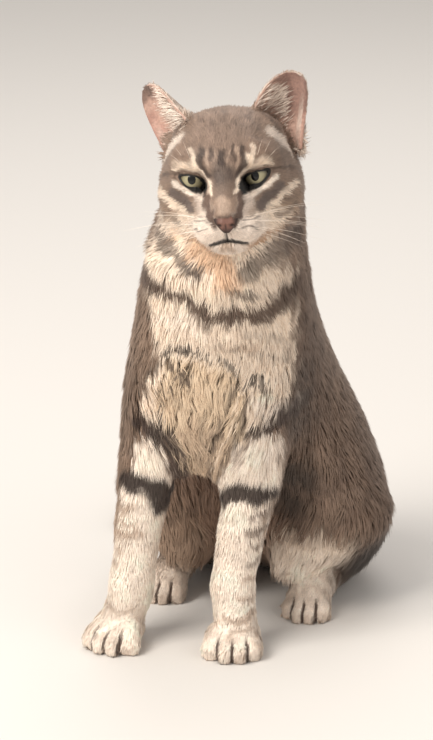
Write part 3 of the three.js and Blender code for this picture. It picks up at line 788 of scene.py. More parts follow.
def eyeball(side):
    deselectAll()
    middle = Vector(fromHead(eyeCentre(signOf[side])) * mm)
    bpy.ops.mesh.primitive_uv_sphere_add(
        segments=72, ring_count=48, radius=eyeRadius * mm, location=(0, 0, 0)
    )
    ball = rename(bpy.context.object, "eyeball_" + side)
    spots = pointsOf(ball.data)
    reach = np.linalg.norm(spots, axis=1)
    angle = np.degrees(np.arccos(np.clip(spots[:, 2] / reach, -1, 1)))
    swell = eyePlan["bulge"] * (1 - smoothStep(0, 1, angle / eyePlan["bulgeAngle"]))
    loopPoints = readAll(ball.data.loops, "vertex_index", 1, np.int32)[:, 0]
    setPoints(ball.data, spots * (1 + swell / reach)[:, None])
    while ball.data.uv_layers:
        ball.data.uv_layers.remove(ball.data.uv_layers[0])
    # the pole looks along the gaze, and the map's middle is the pupil, upright in the head
    gaze = Vector(headAxes @ np.array(eyePlan["gaze"][side])).normalized()
    across = Vector(headAxes @ np.array([0, 0, 1.0])).cross(gaze).normalized()
    turn = Matrix((across, gaze.cross(across), gaze)).transposed()
    front = ball.data.uv_layers.new(name="eyeFront")
    flat = 0.5 + spots[loopPoints][:, :2] / eyePlan["mapWidth"]
    front.data.foreach_set("uv", flat.astype(np.float32).ravel())
    ball.matrix_world = Matrix.Translation(middle) @ turn.to_4x4()
    applyPlace(ball)
    bpy.ops.object.shade_smooth()
    return ball


def bvhOf(piece):
    mesh = piece.data
    mesh.calc_loop_triangles()
    corners = [list(triangle.vertices) for triangle in mesh.loop_triangles]
    return BVHTree.FromPolygons(pointsOf(mesh).tolist(), corners)


# A rim of bare dark skin round each eye, from a ring bent along the edge of the lids.
def eyeRim(side):
    sign = signOf[side]
    edge = lidEdge(sign)
    count = len(edge)
    deselectAll()
    bpy.ops.mesh.primitive_torus_add(major_segments=count, minor_segments=8, major_radius=1, minor_radius=0.1)
    rim = rename(bpy.context.object, "eyeRim_" + side)
    # it's thinner along the upper lid
    knots = lidKnots(sign)[:, 0]
    chord = np.interp((edge[:, 0] - face["aside"]) * sign, [knots.min(), knots.max()], face["chord"])
    upward = smoothStep(-2.5, 2.5, edge[:, 1] - chord)
    centre = eyeCentre(sign)
    flat = edge - centre[[0, 2]]
    level = eyeRadius + eyePlan["rimOut"]
    depth = -np.sqrt(np.maximum(level ** 2 - (flat ** 2).sum(1), 1))
    line = centre + np.stack([flat[:, 0], depth, flat[:, 1]], 1)
    ahead = unit(np.roll(line, -1, axis=0) - np.roll(line, 1, axis=0))
    outward = unit(line - centre)
    aside = unit(np.cross(ahead, outward))
    spots = np.array([vertex.co for vertex in rim.data.vertices])
    major = np.arctan2(spots[:, 1], spots[:, 0])
    row = np.round(major / (2 * math.pi) * count).astype(int) % count
    minor = np.arctan2(spots[:, 2], np.hypot(spots[:, 0], spots[:, 1]) - 1)
    radius = eyePlan["rimRadius"] * (1.05 - 0.3 * upward[row])[:, None]
    ring = outward[row] * np.cos(minor)[:, None] * 0.8 + aside[row] * np.sin(minor)[:, None]
    setPoints(rim.data, fromHead(line[row] + ring * radius))
    inEditMode(rim, bpy.ops.mesh.normals_make_consistent, inside=False)
    bpy.ops.object.shade_smooth()
    return rim


eyeballs = {side: eyeball(side) for side in signOf}
eyeRims = {side: eyeRim(side) for side in signOf}
print("eyes made")


# Nose leather and lips.
nosePlan = {
    "voxel": 0.45,
    "grow": 0.25,
    "out": 0.15,
    "nostril": (4.3, -26.2),
    "nostrilRadii": (1.7, 1.2),
    "nostrilDepth": 1.7,
    "wing": (6.2, 1.6, 2.2, 0.5),  # place in x, radii and height of the swelling beside each nostril
    "slit": [(4.5, -26.6), (5.8, -25.8), (6.6, -24.4)],
    "slitWidth": 0.55,
    "grooveDepth": 0.7,
    "grooveWidth": 0.5,
    "front": (-57.5, -58.6),
}


def noseLeather():
    leather = rename(mergedCopy("nose", nosePlan["grow"]), "noseLeather")
    leather.data.remesh_voxel_size = nosePlan["voxel"] * mm
    selectOnly(leather)
    bpy.ops.object.voxel_remesh()
    mesh = leather.data
    points = toHead(relax(pointsOf(mesh), edgesOf(mesh), 9, 0.8))
    front = smoothStep(*nosePlan["front"], points[:, 1])
    x, z = np.abs(points[:, 0]), points[:, 2]
    nx, nz = nosePlan["nostril"]
    rx, rz = nosePlan["nostrilRadii"]
    pit = np.exp(-(((x - nx) / rx) ** 2 + ((z - nz) / rz) ** 2) ** 1.5)
    gap = distanceToPath(np.stack([x, z], 1), np.array(nosePlan["slit"], float))[0]
    slit = bump(gap, nosePlan["slitWidth"])
    groove = bump(x, nosePlan["grooveWidth"]) * smoothStep(-24, -27, z)
    dent = nosePlan["nostrilDepth"] * np.maximum(pit, slit * 0.5) + nosePlan["grooveDepth"] * groove
    wingX, wideX, wideZ, high = nosePlan["wing"]
    wing = high * np.exp(-(((x - wingX) / wideX) ** 2 + ((z - nz) / wideZ) ** 2))
    points[:, 1] += front * (dent - wing - nosePlan["out"])
    setPoints(mesh, fromHead(points))
    # darker towards its edges and its tip, with painted shade in its nostrils, their slits and its middle
    # groove
    dark = np.maximum(smoothStep(3.4, 7.0, x + np.maximum(0, -z - 25) * 0.6), pit * 0.95)
    dark = np.maximum(dark, smoothStep(-26.5, -30.5, z) * 0.9)
    dark = np.maximum(dark, np.maximum(slit, groove) * 0.8)
    paintPoints(mesh, "leatherColour", mixed(linearTone("leather"), linearTone("leatherDark"), dark[:, None]))
    bpy.ops.object.shade_smooth()
    return leather


# Where a straight line into the face from in front meets the skin.
def ontoFace(tree, x, z):
    start = Vector(fromHead(np.array([[x, -90.0, z]]))[0])
    return tree.ray_cast(start, Vector(headAxes @ np.array([0, 1.0, 0])))[0]


lipPlan = {"sunk": 0.5, "radius": 1.25, "thinner": 0.55, "halfWidth": 12, "between": (0, 0.34, 0.67)}


# The lips: a tube along the line of the mouth, thinner towards its corners.
def lipLine(path):
    tree = bvhOf(skin)
    deselectAll()
    bpy.ops.curve.primitive_nurbs_path_add(radius=1)
    line = bpy.context.object
    line.name = "lips"
    curve = line.data
    curve.splines.clear()
    spline = curve.splines.new("POLY")
    dense = [mixed(here, there, t) for here, there in zip(path, path[1:]) for t in lipPlan["between"]]
    dense.append(path[-1])
    spline.points.add(len(dense) - 1)
    inward = Vector(headAxes @ np.array([0, 1.0, 0]))
    for point, (x, z) in zip(spline.points, dense):
        point.co = (*((ontoFace(tree, x, z) - inward * lipPlan["sunk"]) * mm), 1)
        point.radius = 1.0 - lipPlan["thinner"] * abs(x / lipPlan["halfWidth"]) ** 2
    curve.bevel_depth = lipPlan["radius"] * mm
    curve.bevel_resolution = 3
    curve.use_fill_caps = True
    selectOnly(line)
    bpy.ops.object.convert(target="MESH")
    line = bpy.context.object
    applyPlace(line)
    bpy.ops.object.shade_smooth()
    return line


whiskerPlan = {
    # start (x, z), way out of the face and length; the same on both sides
    "rows": [
        ((15.5, -22.5), (1, 0.25, 0.16), 36),
        ((19, -23), (1, 0.35, 0.2), 42),
        ((22, -24), (1, 0.5, 0.22), 38),
        ((14.5, -25.5), (1, 0.2, 0.02), 42),
        ((18.5, -26.5), (1, 0.3, 0.04), 50),
        ((22.5, -27.5), (1, 0.45, 0.05), 44),
        ((14.5, -29), (1, 0.2, -0.1), 38),
        ((18.5, -30), (1, 0.3, -0.08), 46),
        ((22, -31.5), (1, 0.5, -0.1), 40),
        ((17, -32.5), (1, 0.3, -0.25), 34),
        ((20.5, -34), (1, 0.45, -0.3), 30),
        ((21, 12.5), (0.25, -0.1, 1), 15),
        ((24.5, 12), (0.5, 0.0, 1), 17),
        ((27.5, 11), (0.8, 0.1, 0.9), 13),
    ],
    "thickness": 0.3,
    "taper": 0.85,
    "droop": 0.16,
    "rootDepth": 0.8,
    "joints": 9,
    "strayWay": 0.05,
    "strayLength": 0.08,
}


# Long stiff hairs: three-sided tubes that taper to a point, joined into one piece.
def whiskersOf(plan):
    tree = bvhOf(skin)
    joints = plan["joints"]
    along = np.linspace(0, 1, joints)
    points = []
    for side in (1, -1):
        for (x, z), way, length in plan["rows"]:
            root = toHead(np.array([ontoFace(tree, x * side, z)]))[0]
            way = unit(flip(way, side) + random.normal(size=3) * plan["strayWay"])
            reach = length * (1 + plan["strayLength"] * random.normal())
            line = root + way * (along * reach)[:, None] - way * plan["rootDepth"]
            line += np.array([0, 0.25, -1]) * (plan["droop"] * reach * along ** 2)[:, None]
            across = unit(np.cross(way, (0, 0.3, 1)))
            over = np.cross(way, across)
            radius = plan["thickness"] / 2 * (1 - plan["taper"] * along)
            for turn in range(3):
                angle = turn * 2 * math.pi / 3
                points.append(line + (across * math.cos(angle) + over * math.sin(angle)) * radius[:, None])
    hairs = len(points) // 3
    spots = np.array(points).reshape(hairs, 3, joints, 3).transpose(0, 2, 1, 3).reshape(-1, 3)
    sides = []
    for low in range(0, joints * 3 - 3, 3):
        for turn in range(3):
            a, b = low + turn, low + (turn + 1) % 3
            sides += [(a, b, b + 3), (a, b + 3, a + 3)]
    sides += [(0, 2, 1), (joints * 3 - 3, joints * 3 - 2, joints * 3 - 1)]
    triangles = (np.array(sides)[None] + (np.arange(hairs) * joints * 3)[:, None, None]).reshape(-1, 3)
    piece = meshPiece("whiskers", fromHead(spots), triangles)
    inEditMode(piece, bpy.ops.mesh.normals_make_consistent, inside=False)
    return piece


# Colours of the coat and its markings. Skin and coat take theirs from the same function.
tones = {
    "taupe": "87705f",
    "crown": "907a6c",
    "darkBack": "6c5749",
    "stripe": "44342c",
    "band": "5f4b3e",
    "legBand": "382a23",
    "faded": "776355",
    "cream": "f5e2ce",
    "white": "fbecdd",
    "muzzle": "e8d8ca",
    # painted shadow for the hollows of the body and low on the haunches
    "shade": "30261f",
    "wheat": "d6bd9f",
    "peach": "dfb591",
    "tan": "b09680",
    "belly": "846856",
    "cheekGrey": "6a5b54",
    "noseBrown": "5f493e",
    # painted shade for creases
    "mask": "5d4d44",
    "creaseShade": "3a2d25",
    "spot": "b09886",
    "rim": "14100d",
    # painted shade for the clefts between the toes
    "cleft": "5e4a3f",
    "earPink": "b99788",
    "earHollowShade": "8a6b60",
    "earRed": "a3776a",
    "leather": "714e42",
    "leatherDark": "2b1b16",
}
# Front view of the head, as (x, z); rows with x > 0 all along are mirrored.
# Patches: tone, middle, radii, softness, strength.
facePatches = [
    ("tan", (34, -27), (18, 14), 0.5, 0.7),
    ("faded", (38, 10), (10, 10), 0.6, 0.4),
    ("cream", (24, -29), (15, 8), 0.4, 0.9),
    ("peach", (22, -45), (13, 7), 0.6, 0.55),
    ("muzzle", (11, -31.5), (14.5, 10.5), 0.35, 1.0),
    ("muzzle", (0, -45), (12, 7.5), 0.35, 1.0),
    ("muzzle", (14, -15), (5, 6), 0.6, 0.55),
    ("peach", (0, -58), (20, 8), 0.5, 0.7),
    ("cream", (17.5, 11), (3.4, 4.4), 0.6, 0.95),
    ("cream", (27, 10.2), (4.8, 2.9), 0.6, 0.75),
    ("crown", (0, 34), (26, 12), 0.6, 0.6),
    ("mask", (0, 3.2), (8.6, 8.4), 0.5, 0.9),
    ("faded", (0, -7), (7.5, 6), 0.6, 0.8),
    ("noseBrown", (0, -22.4), (8.0, 3.2), 0.5, 0.9),
]
noseSpot = ("spot", (0, -15.0), (4.8, 5.6), 0.4, 0.9)  # over the strokes that follow
# Strokes: tone, points, half-width, softness, strength.
faceStrokes = [
    ("cream", [(31, 7.6), (24, 8.2), (18, 7.8), (13.6, 5.2), (10.4, 2.2), (8.8, -1.8), (8.6, -7)],
     0.9, 1.4, 0.9),
    ("cream", [(17.6, 12), (19.6, 19.5)], 1.2, 1.8, 0.6),
    ("stripe", [(12.6, 19.5), (14.4, 13), (14.2, 9.4), (11, 5.6), (8.6, 3.4)], 1.4, 1.3, 0.9),
    ("spot", [(9.9, 19), (9.9, 9.5)], 0.9, 1.1, 0.8),
    ("stripe", [(6.4, 20.5), (7.6, 13)], 0.8, 1.2, 0.75),
    ("spot", [(5.0, 17), (4.4, 12)], 0.5, 0.9, 0.5),
    ("stripe", [(0.6, 18), (0.2, 10)], 1.2, 1.6, 0.75),
    ("stripe", [(4, 7), (5.2, 1)], 0.8, 1.6, 0.5),
    ("noseBrown", [(11.9, -7), (11.2, -14), (9.2, -21), (6.8, -27)], 2.0, 1.4, 0.95),
    ("white", [(33, -1.8), (29.8, -4.0), (25, -7.2), (18.6, -9.2)], 0.9, 1.4, 0.95),
    ("muzzle", [(18.6, -9.4), (14.4, -10.6)], 1.2, 1.6, 0.9),
    ("cheekGrey", [(34.5, -8.4), (28.5, -12.9), (24, -17.2)], 3.4, 2.0, 0.95),
    ("cream", [(44, -9), (37.5, -14), (33, -18), (27, -21.5)], 1.9, 1.7, 0.85),
    ("faded", [(42.5, -22), (37, -26), (33, -28)], 1.5, 1.8, 0.7),
    ("faded", [(38, -18.6), (44.5, -17)], 1.1, 1.5, 0.5),
    ("stripe", [(30.8, 4.4), (35, 3.8), (41, 2.2)], 0.7, 1.1, 0.6),
    ("stripe", [(11.5, -24.2), (17, -24.0), (21, -24.7)], 0.35, 0.5, 0.6),
    ("stripe", [(11, -28.2), (16, -28.5), (20.5, -30)], 0.35, 0.5, 0.6),
    ("stripe", [(14, -21.6), (18, -21.9)], 0.3, 0.5, 0.45),
    ("rim", [(0, -30.5), (0, -37)], 0.5, 1.2, 0.8),
    ("tan", [(1.5, -40), (3, -43.5)], 1.6, 2.4, 0.7),
    ("faded", [(21, 32), (22.5, 24)], 2.0, 2.4, 0.6),
    ("faded", [(11, 34), (12.4, 24)], 1.6, 2.0, 0.55),
    ("faded", [(3, 37), (3, 25)], 1.4, 2.0, 0.5),
    ("rim", [(13.2, -4.4), (12.4, -8.6)], 0.8, 0.9, 1.0),
]
# The rest of the head, in its own frame: tone, points, half-width, softness, strength.
headStrokes = [
    ("stripe", [(41, -13, 2), (43, 2, -3), (40, 16, -10)], 1.6, 1.8, 0.5),
    ("stripe", [(42, -10, -22), (43, 6, -27), (38, 20, -34)], 2.0, 2.2, 0.45),
    ("stripe", [(7, -20, 33), (7, 5, 39), (6, 28, 32)], 1.8, 1.8, 0.4),
    ("stripe", [(0, -18, 35), (0, 8, 40), (0, 32, 29)], 1.8, 1.8, 0.4),
    ("stripe", [(15, -12, 35), (16, 8, 36), (14, 28, 29)], 1.8, 2.0, 0.4),
    ("stripe", [(25, 2, 33), (29, -1, 29), (34, -1, 25)], 2.2, 2.4, 0.55),
    ("muzzle", [(42, 0, 12), (38.5, -5, 17), (34, -10, 21.5), (30, -14, 24.5)], 4.2, 3.4, 0.9),
]
# Areas of the chest and forelegs seen from the front, as (x, z):
# tone, outline, softness, strength and how far back in y they reach.
frontAreas = [
    ("cream", [(-14, 247), (-8, 238), (-8, 225), (-2, 214), (-2, 204), (-10, 192), (-14, 180), (-17, 170),
               (-8, 160), (2, 150), (12, 130), (18, 112), (23, 92), (33, 90), (44, 118), (56, 142), (68, 168),
               (76, 178), (78, 200), (78, 262), (60, 280), (20, 290), (-8, 276)], 5, 0.95, -92),
    ("wheat", [(6, 206), (20, 208), (40, 203), (52, 198), (56, 185), (58, 165), (54, 150), (44, 128),
               (33, 92), (24, 92), (14, 122), (4, 150), (-4, 168), (-6, 182), (2, 196)], 7, 0.85, -92),
    ("tan", [(10, 152), (18, 120), (24, 95), (33, 95), (42, 120), (50, 142), (40, 160), (20, 166)],
     8, 0.5, -92),
    ("white", [(-21, 146), (-12, 152), (-3, 147), (1, 136), (4, 110), (2, 60), (-4, 30), (-8, -9), (-54, -9),
               (-52, 25), (-41, 50), (-34, 80), (-30, 112), (-22, 122)], 4, 0.95, -122),
    ("white", [(50, 147), (64, 153), (73, 150), (74, 118), (67, 100), (64, 80), (62, 60), (62, 40), (67, 20),
               (74, -9), (27, -9), (29, 30), (26, 60), (27, 100), (33, 116), (43, 134)], 4, 0.95, -105),
]
# Soft patches on the body: tone, middle, radii, softness, strength.
bodyPatches = [
    ("darkBack", (22.7, 40, 170), (26, 90, 130), 0.6, 0.55),
    ("darkBack", (112, -10, 90), (34, 55, 60), 0.6, 0.55),
    ("darkBack", (-68, -10, 90), (34, 55, 60), 0.6, 0.55),
    # darker coat on the left flank, painted darker still as the shade of that side, which faces away from the
    # key light
    ("darkBack", (86, -78, 190), (16, 44, 64), 0.6, 0.95),
    ("belly", (22.7, -70, 75), (48, 50, 70), 0.5, 0.85),
    ("cream", (80, -60, 40), (31, 30, 21), 0.5, 0.9),
    ("tan", (-22, -60, 40), (20, 30, 32), 0.6, 0.6),
    # painted shadow low on both haunches, where they meet the floor
    ("shade", (106, -6, 22), (22, 42, 30), 0.6, 0.9),
    ("shade", (-62, -6, 22), (22, 42, 30), 0.6, 0.7),
    # painted shadow behind the left foreleg, and painted shade in the crease between the left upper arm and
    # the body
    ("shade", (64, -62, 98), (17, 34, 30), 0.5, 0.85),
    ("shade", (78, -84, 160), (8, 22, 34), 0.6, 0.7),
    ("white", (80, -60, 38), (28, 26, 17), 0.6, 0.85),
    ("white", (70, -62, 6), (30, 36, 19), 0.4, 0.9),
    ("white", (-26, -62, 6), (30, 36, 19), 0.4, 0.7),
    ("cream", (32, -140, 278), (46, 42, 34), 0.4, 0.95),
    ("peach", (30, -136, 282), (22, 34, 10), 0.6, 0.6),
    ("peach", (40, -136, 271), (20, 34, 12), 0.6, 0.9),
    ("peach", (16, -136, 279), (14, 34, 12), 0.6, 0.6),
]
# Bands of the tabby pattern seen from the front, as (x, z): tone, points, half-width, softness, strength.
frontStrokes = [
    ("peach", [(27, 282), (42, 273), (49, 264)], 6.0, 6.0, 0.8),
    ("cream", [(-14, 270), (0, 268), (14, 260), (24, 256)], 3.0, 3.0, 0.9),
    ("white", [(0, 235), (20, 236), (28, 230)], 5.0, 4.0, 0.6),
    ("white", [(66, 177), (70, 168)], 5.0, 4.0, 0.8),
    ("band", [(-28, 257), (-16, 256), (-5, 253)], 5.0, 3.0, 0.8),
    ("band", [(-24, 261), (-12, 256), (0, 252.5), (12, 252.5), (22, 250), (29, 245), (34, 240), (46, 239),
                (58, 240), (68, 238.5), (75, 244), (80, 256)], 4.4, 3.4, 0.97),
    ("band", [(-27, 286), (-22, 274), (-16, 263)], 3.4, 3.0, 0.8),
    ("stripe", [(-8, 286), (4, 282), (16, 274), (28, 266)], 3.6, 2.6, 0.75),
    ("stripe", [(19, 269), (28, 265)], 1.6, 2.4, 0.6),
    ("stripe", [(80, 290), (74, 280), (66, 272), (60, 269)], 3.4, 3.0, 0.65),
    ("stripe", [(51, 257), (58, 253), (62, 251)], 2.2, 2.4, 0.75),
    # painted shade along the chest's folds: this tan stroke and the faded strokes after it down to the cream
    # one
    ("tan", [(38, 218), (50, 220), (62, 216)], 2.0, 2.6, 0.6),
    ("faded", [(7, 202), (13, 198.5), (19, 192.5)], 2.0, 2.2, 0.8),
    ("faded", [(-8, 196), (-1, 200)], 1.5, 2.2, 0.6),
    ("faded", [(0, 181), (8, 186)], 1.4, 2.0, 0.7),
    ("faded", [(50, 192), (47, 178), (41, 163), (36, 148), (29, 132), (24, 115)], 0.6, 1.1, 0.65),
    ("faded", [(57, 180), (55, 165), (50, 150), (40, 134), (31, 118)], 0.6, 1.1, 0.6),
    ("faded", [(36, 165), (33, 152), (27, 138)], 0.6, 1.1, 0.55),
    # painted highlight on the ridge between two of the chest's folds
    ("cream", [(53, 188), (51, 172), (45, 156), (38, 140), (30, 124)], 0.6, 1.0, 0.6),
    ("stripe", [(-20, 161), (-11, 159), (-4, 155)], 4.2, 2.4, 0.95),
    ("stripe", [(2, 150), (6, 138), (8, 126), (7, 110)], 5.0, 3.0, 0.9),
    # painted shade in a crease at the top of the right foreleg
    ("creaseShade", [(-4, 156), (0, 150), (3, 141)], 2.6, 2.2, 0.95),
    ("stripe", [(80, 168), (74, 163), (66, 159), (59, 156)], 3.0, 2.4, 0.95),
    ("faded", [(60, 152), (54, 144), (47, 134)], 1.4, 2.2, 0.6),
    ("faded", [(-29, 139), (-23, 137)], 2.2, 3.0, 0.6),
    ("legBand", [(-26, 116), (-16, 116.5), (-8, 113), (-3, 106), (0, 96)], 5.2, 2.8, 0.97),
    ("legBand", [(35, 103), (43, 111), (51, 114), (58, 113.5), (66, 111)], 4.6, 3.0, 0.97),
    ("tan", [(-40, 98), (-28, 97), (-20, 99)], 1.3, 2.0, 0.75),
    ("tan", [(-40, 88), (-28, 88), (-18, 86)], 1.2, 2.0, 0.7),
    ("tan", [(-40, 78), (-28, 78), (-14, 80)], 1.4, 2.2, 0.8),
    ("tan", [(-42, 67), (-30, 69)], 1.2, 2.0, 0.7),
    ("tan", [(-43, 56), (-32, 58)], 1.2, 2.0, 0.6),
    ("tan", [(-44, 30), (-30, 27), (-16, 29)], 1.2, 2.0, 0.5),
    ("faded", [(70, 96), (58, 94)], 2.0, 2.2, 0.75),
    ("faded", [(70, 86), (58, 85)], 2.0, 2.2, 0.8),
    ("faded", [(70, 76), (60, 74)], 1.5, 2.0, 0.65),
    ("faded", [(70, 65), (59, 64)], 1.4, 2.0, 0.6),
    ("tan", [(69, 52), (56, 51)], 1.2, 2.0, 0.7),
    ("tan", [(66, 39), (54, 39)], 1.2, 2.0, 0.6),
    ("tan", [(62, 28), (52, 26), (44, 28)], 1.4, 2.0, 0.7),
    ("tan", [(60, 20), (48, 18)], 1.2, 2.0, 0.6),
]
pattern = {
    "barGap": 25.0,  # from bar to bar along the flanks
    "barStrength": 0.6,
    "barsFrom": (8, 30),  # how far from the spine they begin, how far back, and how high
    "barsBehind": (-110, -70),
    "barsOver": (35, 75),
    "ringGap": 23.0,  # from ring to ring along the tail
    "ringStrength": 0.75,
    "tailTip": (32, 20),  # lengths of the tail's end between which it turns dark
    "drift": 0.07,  # how much the tone changes over the body, and from place to place
    "fineDrift": 0.04,
    "rimWidth": 0.75,  # bare dark skin round the lids
    "rimCorner": 0.9,  # how much more there is of it at the inner corner
}
earFrames = {"left": (-6, 0, 0), "right": (-6, -47, -56)}  # turns about x, y and z from the head's frame
# how strong the marks and painted shade inside each ear are, and the heights on the ear where they end or
# begin
earMarks = {
    "left": {"hollowShade": 0.9, "red": 0.4, "redTo": 2, "tip": (30, 40), "paleTo": (1, 16)},
    "right": {"hollowShade": 0.15, "red": 0.75, "redTo": 25, "tip": (25, 29), "paleTo": (8, 24)},
}


def linearTone(name):
    shown = np.array([int(tones[name][k:k + 2], 16) for k in (0, 2, 4)]) / 255
    return np.where(shown <= 0.04045, shown / 12.92, ((shown + 0.055) / 1.055) ** 2.4)


# A smooth field of values from -1 to 1 that changes over about the given number of millimetres.
def drift(points, scale, seed):
    waves = np.random.default_rng(seed)
    total = np.zeros(len(points))
    for _ in range(7):
        way = unit(waves.normal(size=3)) * (2 * math.pi / scale) * waves.uniform(0.6, 1.5)
        total += np.sin(points @ way + waves.uniform(0, 6.28))
    return np.clip(total / 3.2, -1, 1)


# How far a flat pattern wanders at each point, in its two directions.
def wander(points, scale, seed):
    return np.stack([drift(points, scale, seed), drift(points, scale, seed + 1)], 1)


def blendIn(colours, tone, share, near=slice(None)):
    colours[near] += (linearTone(tone) - colours[near]) * share[:, None]


def strokeIn(colours, spots, wobble, where, stroke):
    tone, path, halfWidth, softness, strength = stroke
    path = np.array(path, float)
    reach = halfWidth + softness + 2
    near = (where > 0) & ((spots > path.min(0) - reach) & (spots < path.max(0) + reach)).all(1)
    if not near.any():
        return
    gap = distanceToPath(spots[near], path)[0] * (1 + 0.3 * wobble[near])
    fading = smoothStep(halfWidth - softness * 0.5, halfWidth + softness, gap)
    blendIn(colours, tone, strength * where[near] * (1 - fading), near)


def patchIn(colours, spots, wobble, where, patch):
    tone, middle, radii, softness, strength = patch
    far = np.linalg.norm((spots - np.array(middle, float)) / np.array(radii, float), axis=1)
    share = strength * (1 - smoothStep(1 - softness, 1 + softness, far * (1 + 0.12 * wobble))) * where
    blendIn(colours, tone, share)


def areaIn(colours, points, wobble, where, area):
    tone, outline, softness, strength, back = area
    outline = np.array(outline, float)
    spots = points[:, [0, 2]]
    near = where & (points[:, 1] < back + 22)
    near &= ((spots > outline.min(0) - 12) & (spots < outline.max(0) + 12)).all(1)
    gap = outsideOf(spots[near], outline)[0] + 2.5 * wobble[near]
    behind = smoothStep(back + 10, back - 10, points[near, 1])
    share = strength * (1 - smoothStep(-softness / 2, softness / 2, gap)) * behind
    blendIn(colours, tone, share, near)


def bothSides(rows):
    for row in rows:
        points = np.array(row[1], float).reshape(-1, len(np.atleast_2d(row[1])[0]))
        yield row[:1] + (points if len(points) > 1 else points[0],) + row[2:]
        if (points[:, 0] > 0).all():
            flipped = points * ([-1] + [1] * (points.shape[1] - 1))
            yield row[:1] + (flipped if len(points) > 1 else flipped[0],) + row[2:]


def bodyTones(colours, points, kinds, wobble, isBody):
    for patch in bodyPatches:
        patchIn(colours, points, wobble, isBody, patch)
    # faint upright bars along the flanks and haunches
    along = (points[:, 1] * 0.5 - points[:, 2] * 0.86) + 7 * drift(points, 60, 5)
    bars = smoothStep(0.15, 0.9, np.sin(along * 2 * math.pi / pattern["barGap"]))
    upper = smoothStep(*pattern["barsFrom"], np.abs(points[:, 0] - spineAt))
    upper = upper * smoothStep(*pattern["barsBehind"], points[:, 1])
    upper = upper * smoothStep(*pattern["barsOver"], points[:, 2])
    blendIn(colours, "darkBack", bars * pattern["barStrength"] * upper * isBody)
    fore = np.isin(kinds, ("foreleg", "paw")) & (points[:, 1] < -78)
    blendIn(colours, "tan", 0.85 * fore * smoothStep(112, 80, points[:, 2] + 5 * wobble))
    blendIn(colours, "white", 0.5 * fore * smoothStep(60, 20, points[:, 2] + 8 * wobble))
    for area in frontAreas:
        areaIn(colours, points, wobble, isBody, area)
    bent = points[:, [0, 2]] + wander(points, 17, 21) * 1.6
    for stroke in frontStrokes:
        strokeIn(colours, bent, wobble, isBody * smoothStep(-74, -92, points[:, 1]), stroke)
    # painted shade in the chest's folds
    blendIn(colours, "creaseShade", foldAt(points)[1] * isBody * 0.9)
    mottled = smoothStep(-0.4, 0.7, wobble) * smoothStep(30, 12, points[:, 2])
    blendIn(colours, "tan", 0.3 * mottled * (kinds == "paw"))
    # painted shade in the clefts between the toes
    for row in toeRows:
        gap, forward, there = cleftAt(points, row)
        dark = there * (1 - smoothStep(0.5, 1.3, gap)) * smoothStep(2, 9, forward)
        blendIn(colours, "cleft", 0.9 * dark)


def headTones(colours, local, wobble, isHead, isThroat):
    blendIn(colours, "crown", 0.4 * (isHead & ~isThroat))
    front = isHead & (local[:, 1] < -6) & ~isThroat
    streaks = smoothStep(0.0, 0.9, drift(local * (1, 0.25, 0.4), 3.4, 31)) * smoothStep(6, 13, local[:, 2])
    blendIn(colours, "noseBrown", 0.3 * streaks * isHead)
    flat = local[:, [0, 2]]
    bent = flat + wander(local, 9, 23) - (face["aside"], 0)
    for patch in bothSides(facePatches):
        patchIn(colours, bent, wobble, front, patch)
    for stroke in bothSides(headStrokes):
        strokeIn(colours, local, wobble, isHead, stroke)
    for stroke in bothSides(faceStrokes):
        strokeIn(colours, bent, wobble * 0.5, front, stroke)
    patchIn(colours, bent, wobble, front, noseSpot)
    for side in (1, -1):
        near, gap = roundEye(flat, side, front)
        aside, height = (flat[near, 0] - face["aside"]) * side, flat[near, 1]
        corner = smoothStep(17, 13.5, aside) * smoothStep(3, -1, height)
        wide = pattern["rimWidth"] - 0.1 * smoothStep(1, 4, height) + pattern["rimCorner"] * corner
        share = 1 - smoothStep(0, 0.8, gap - wide + 0.4 * wobble[near] * (gap > 0.6))
        blendIn(colours, "rim", share, near)
    near, gap = roundMouth(flat, front)
    blendIn(colours, "rim", 0.95 * (1 - smoothStep(0.9, 1.8, gap)), near)


# The tail is ringed, with a dark tip.
def tailTones(colours, points, wobble, isTail):
    route = np.array(tailCoat["route"], float)
    steps = np.concatenate([[0], np.cumsum(np.linalg.norm(np.diff(route, axis=0), axis=1))])
    tail = np.where(isTail)[0]
    gaps = np.linalg.norm(points[tail, None] - route[None], axis=2)
    weight = 1 / (gaps + 1) ** 4
    run = (weight * steps).sum(1) / weight.sum(1) + 2 * wobble[tail]
    rings = smoothStep(0.0, 0.7, np.sin(run * 2 * math.pi / pattern["ringGap"]))
    tip = smoothStep(*(steps[-1] - length for length in pattern["tailTip"]), run)
    blendIn(colours, "stripe", np.maximum(rings * pattern["ringStrength"], tip), tail)


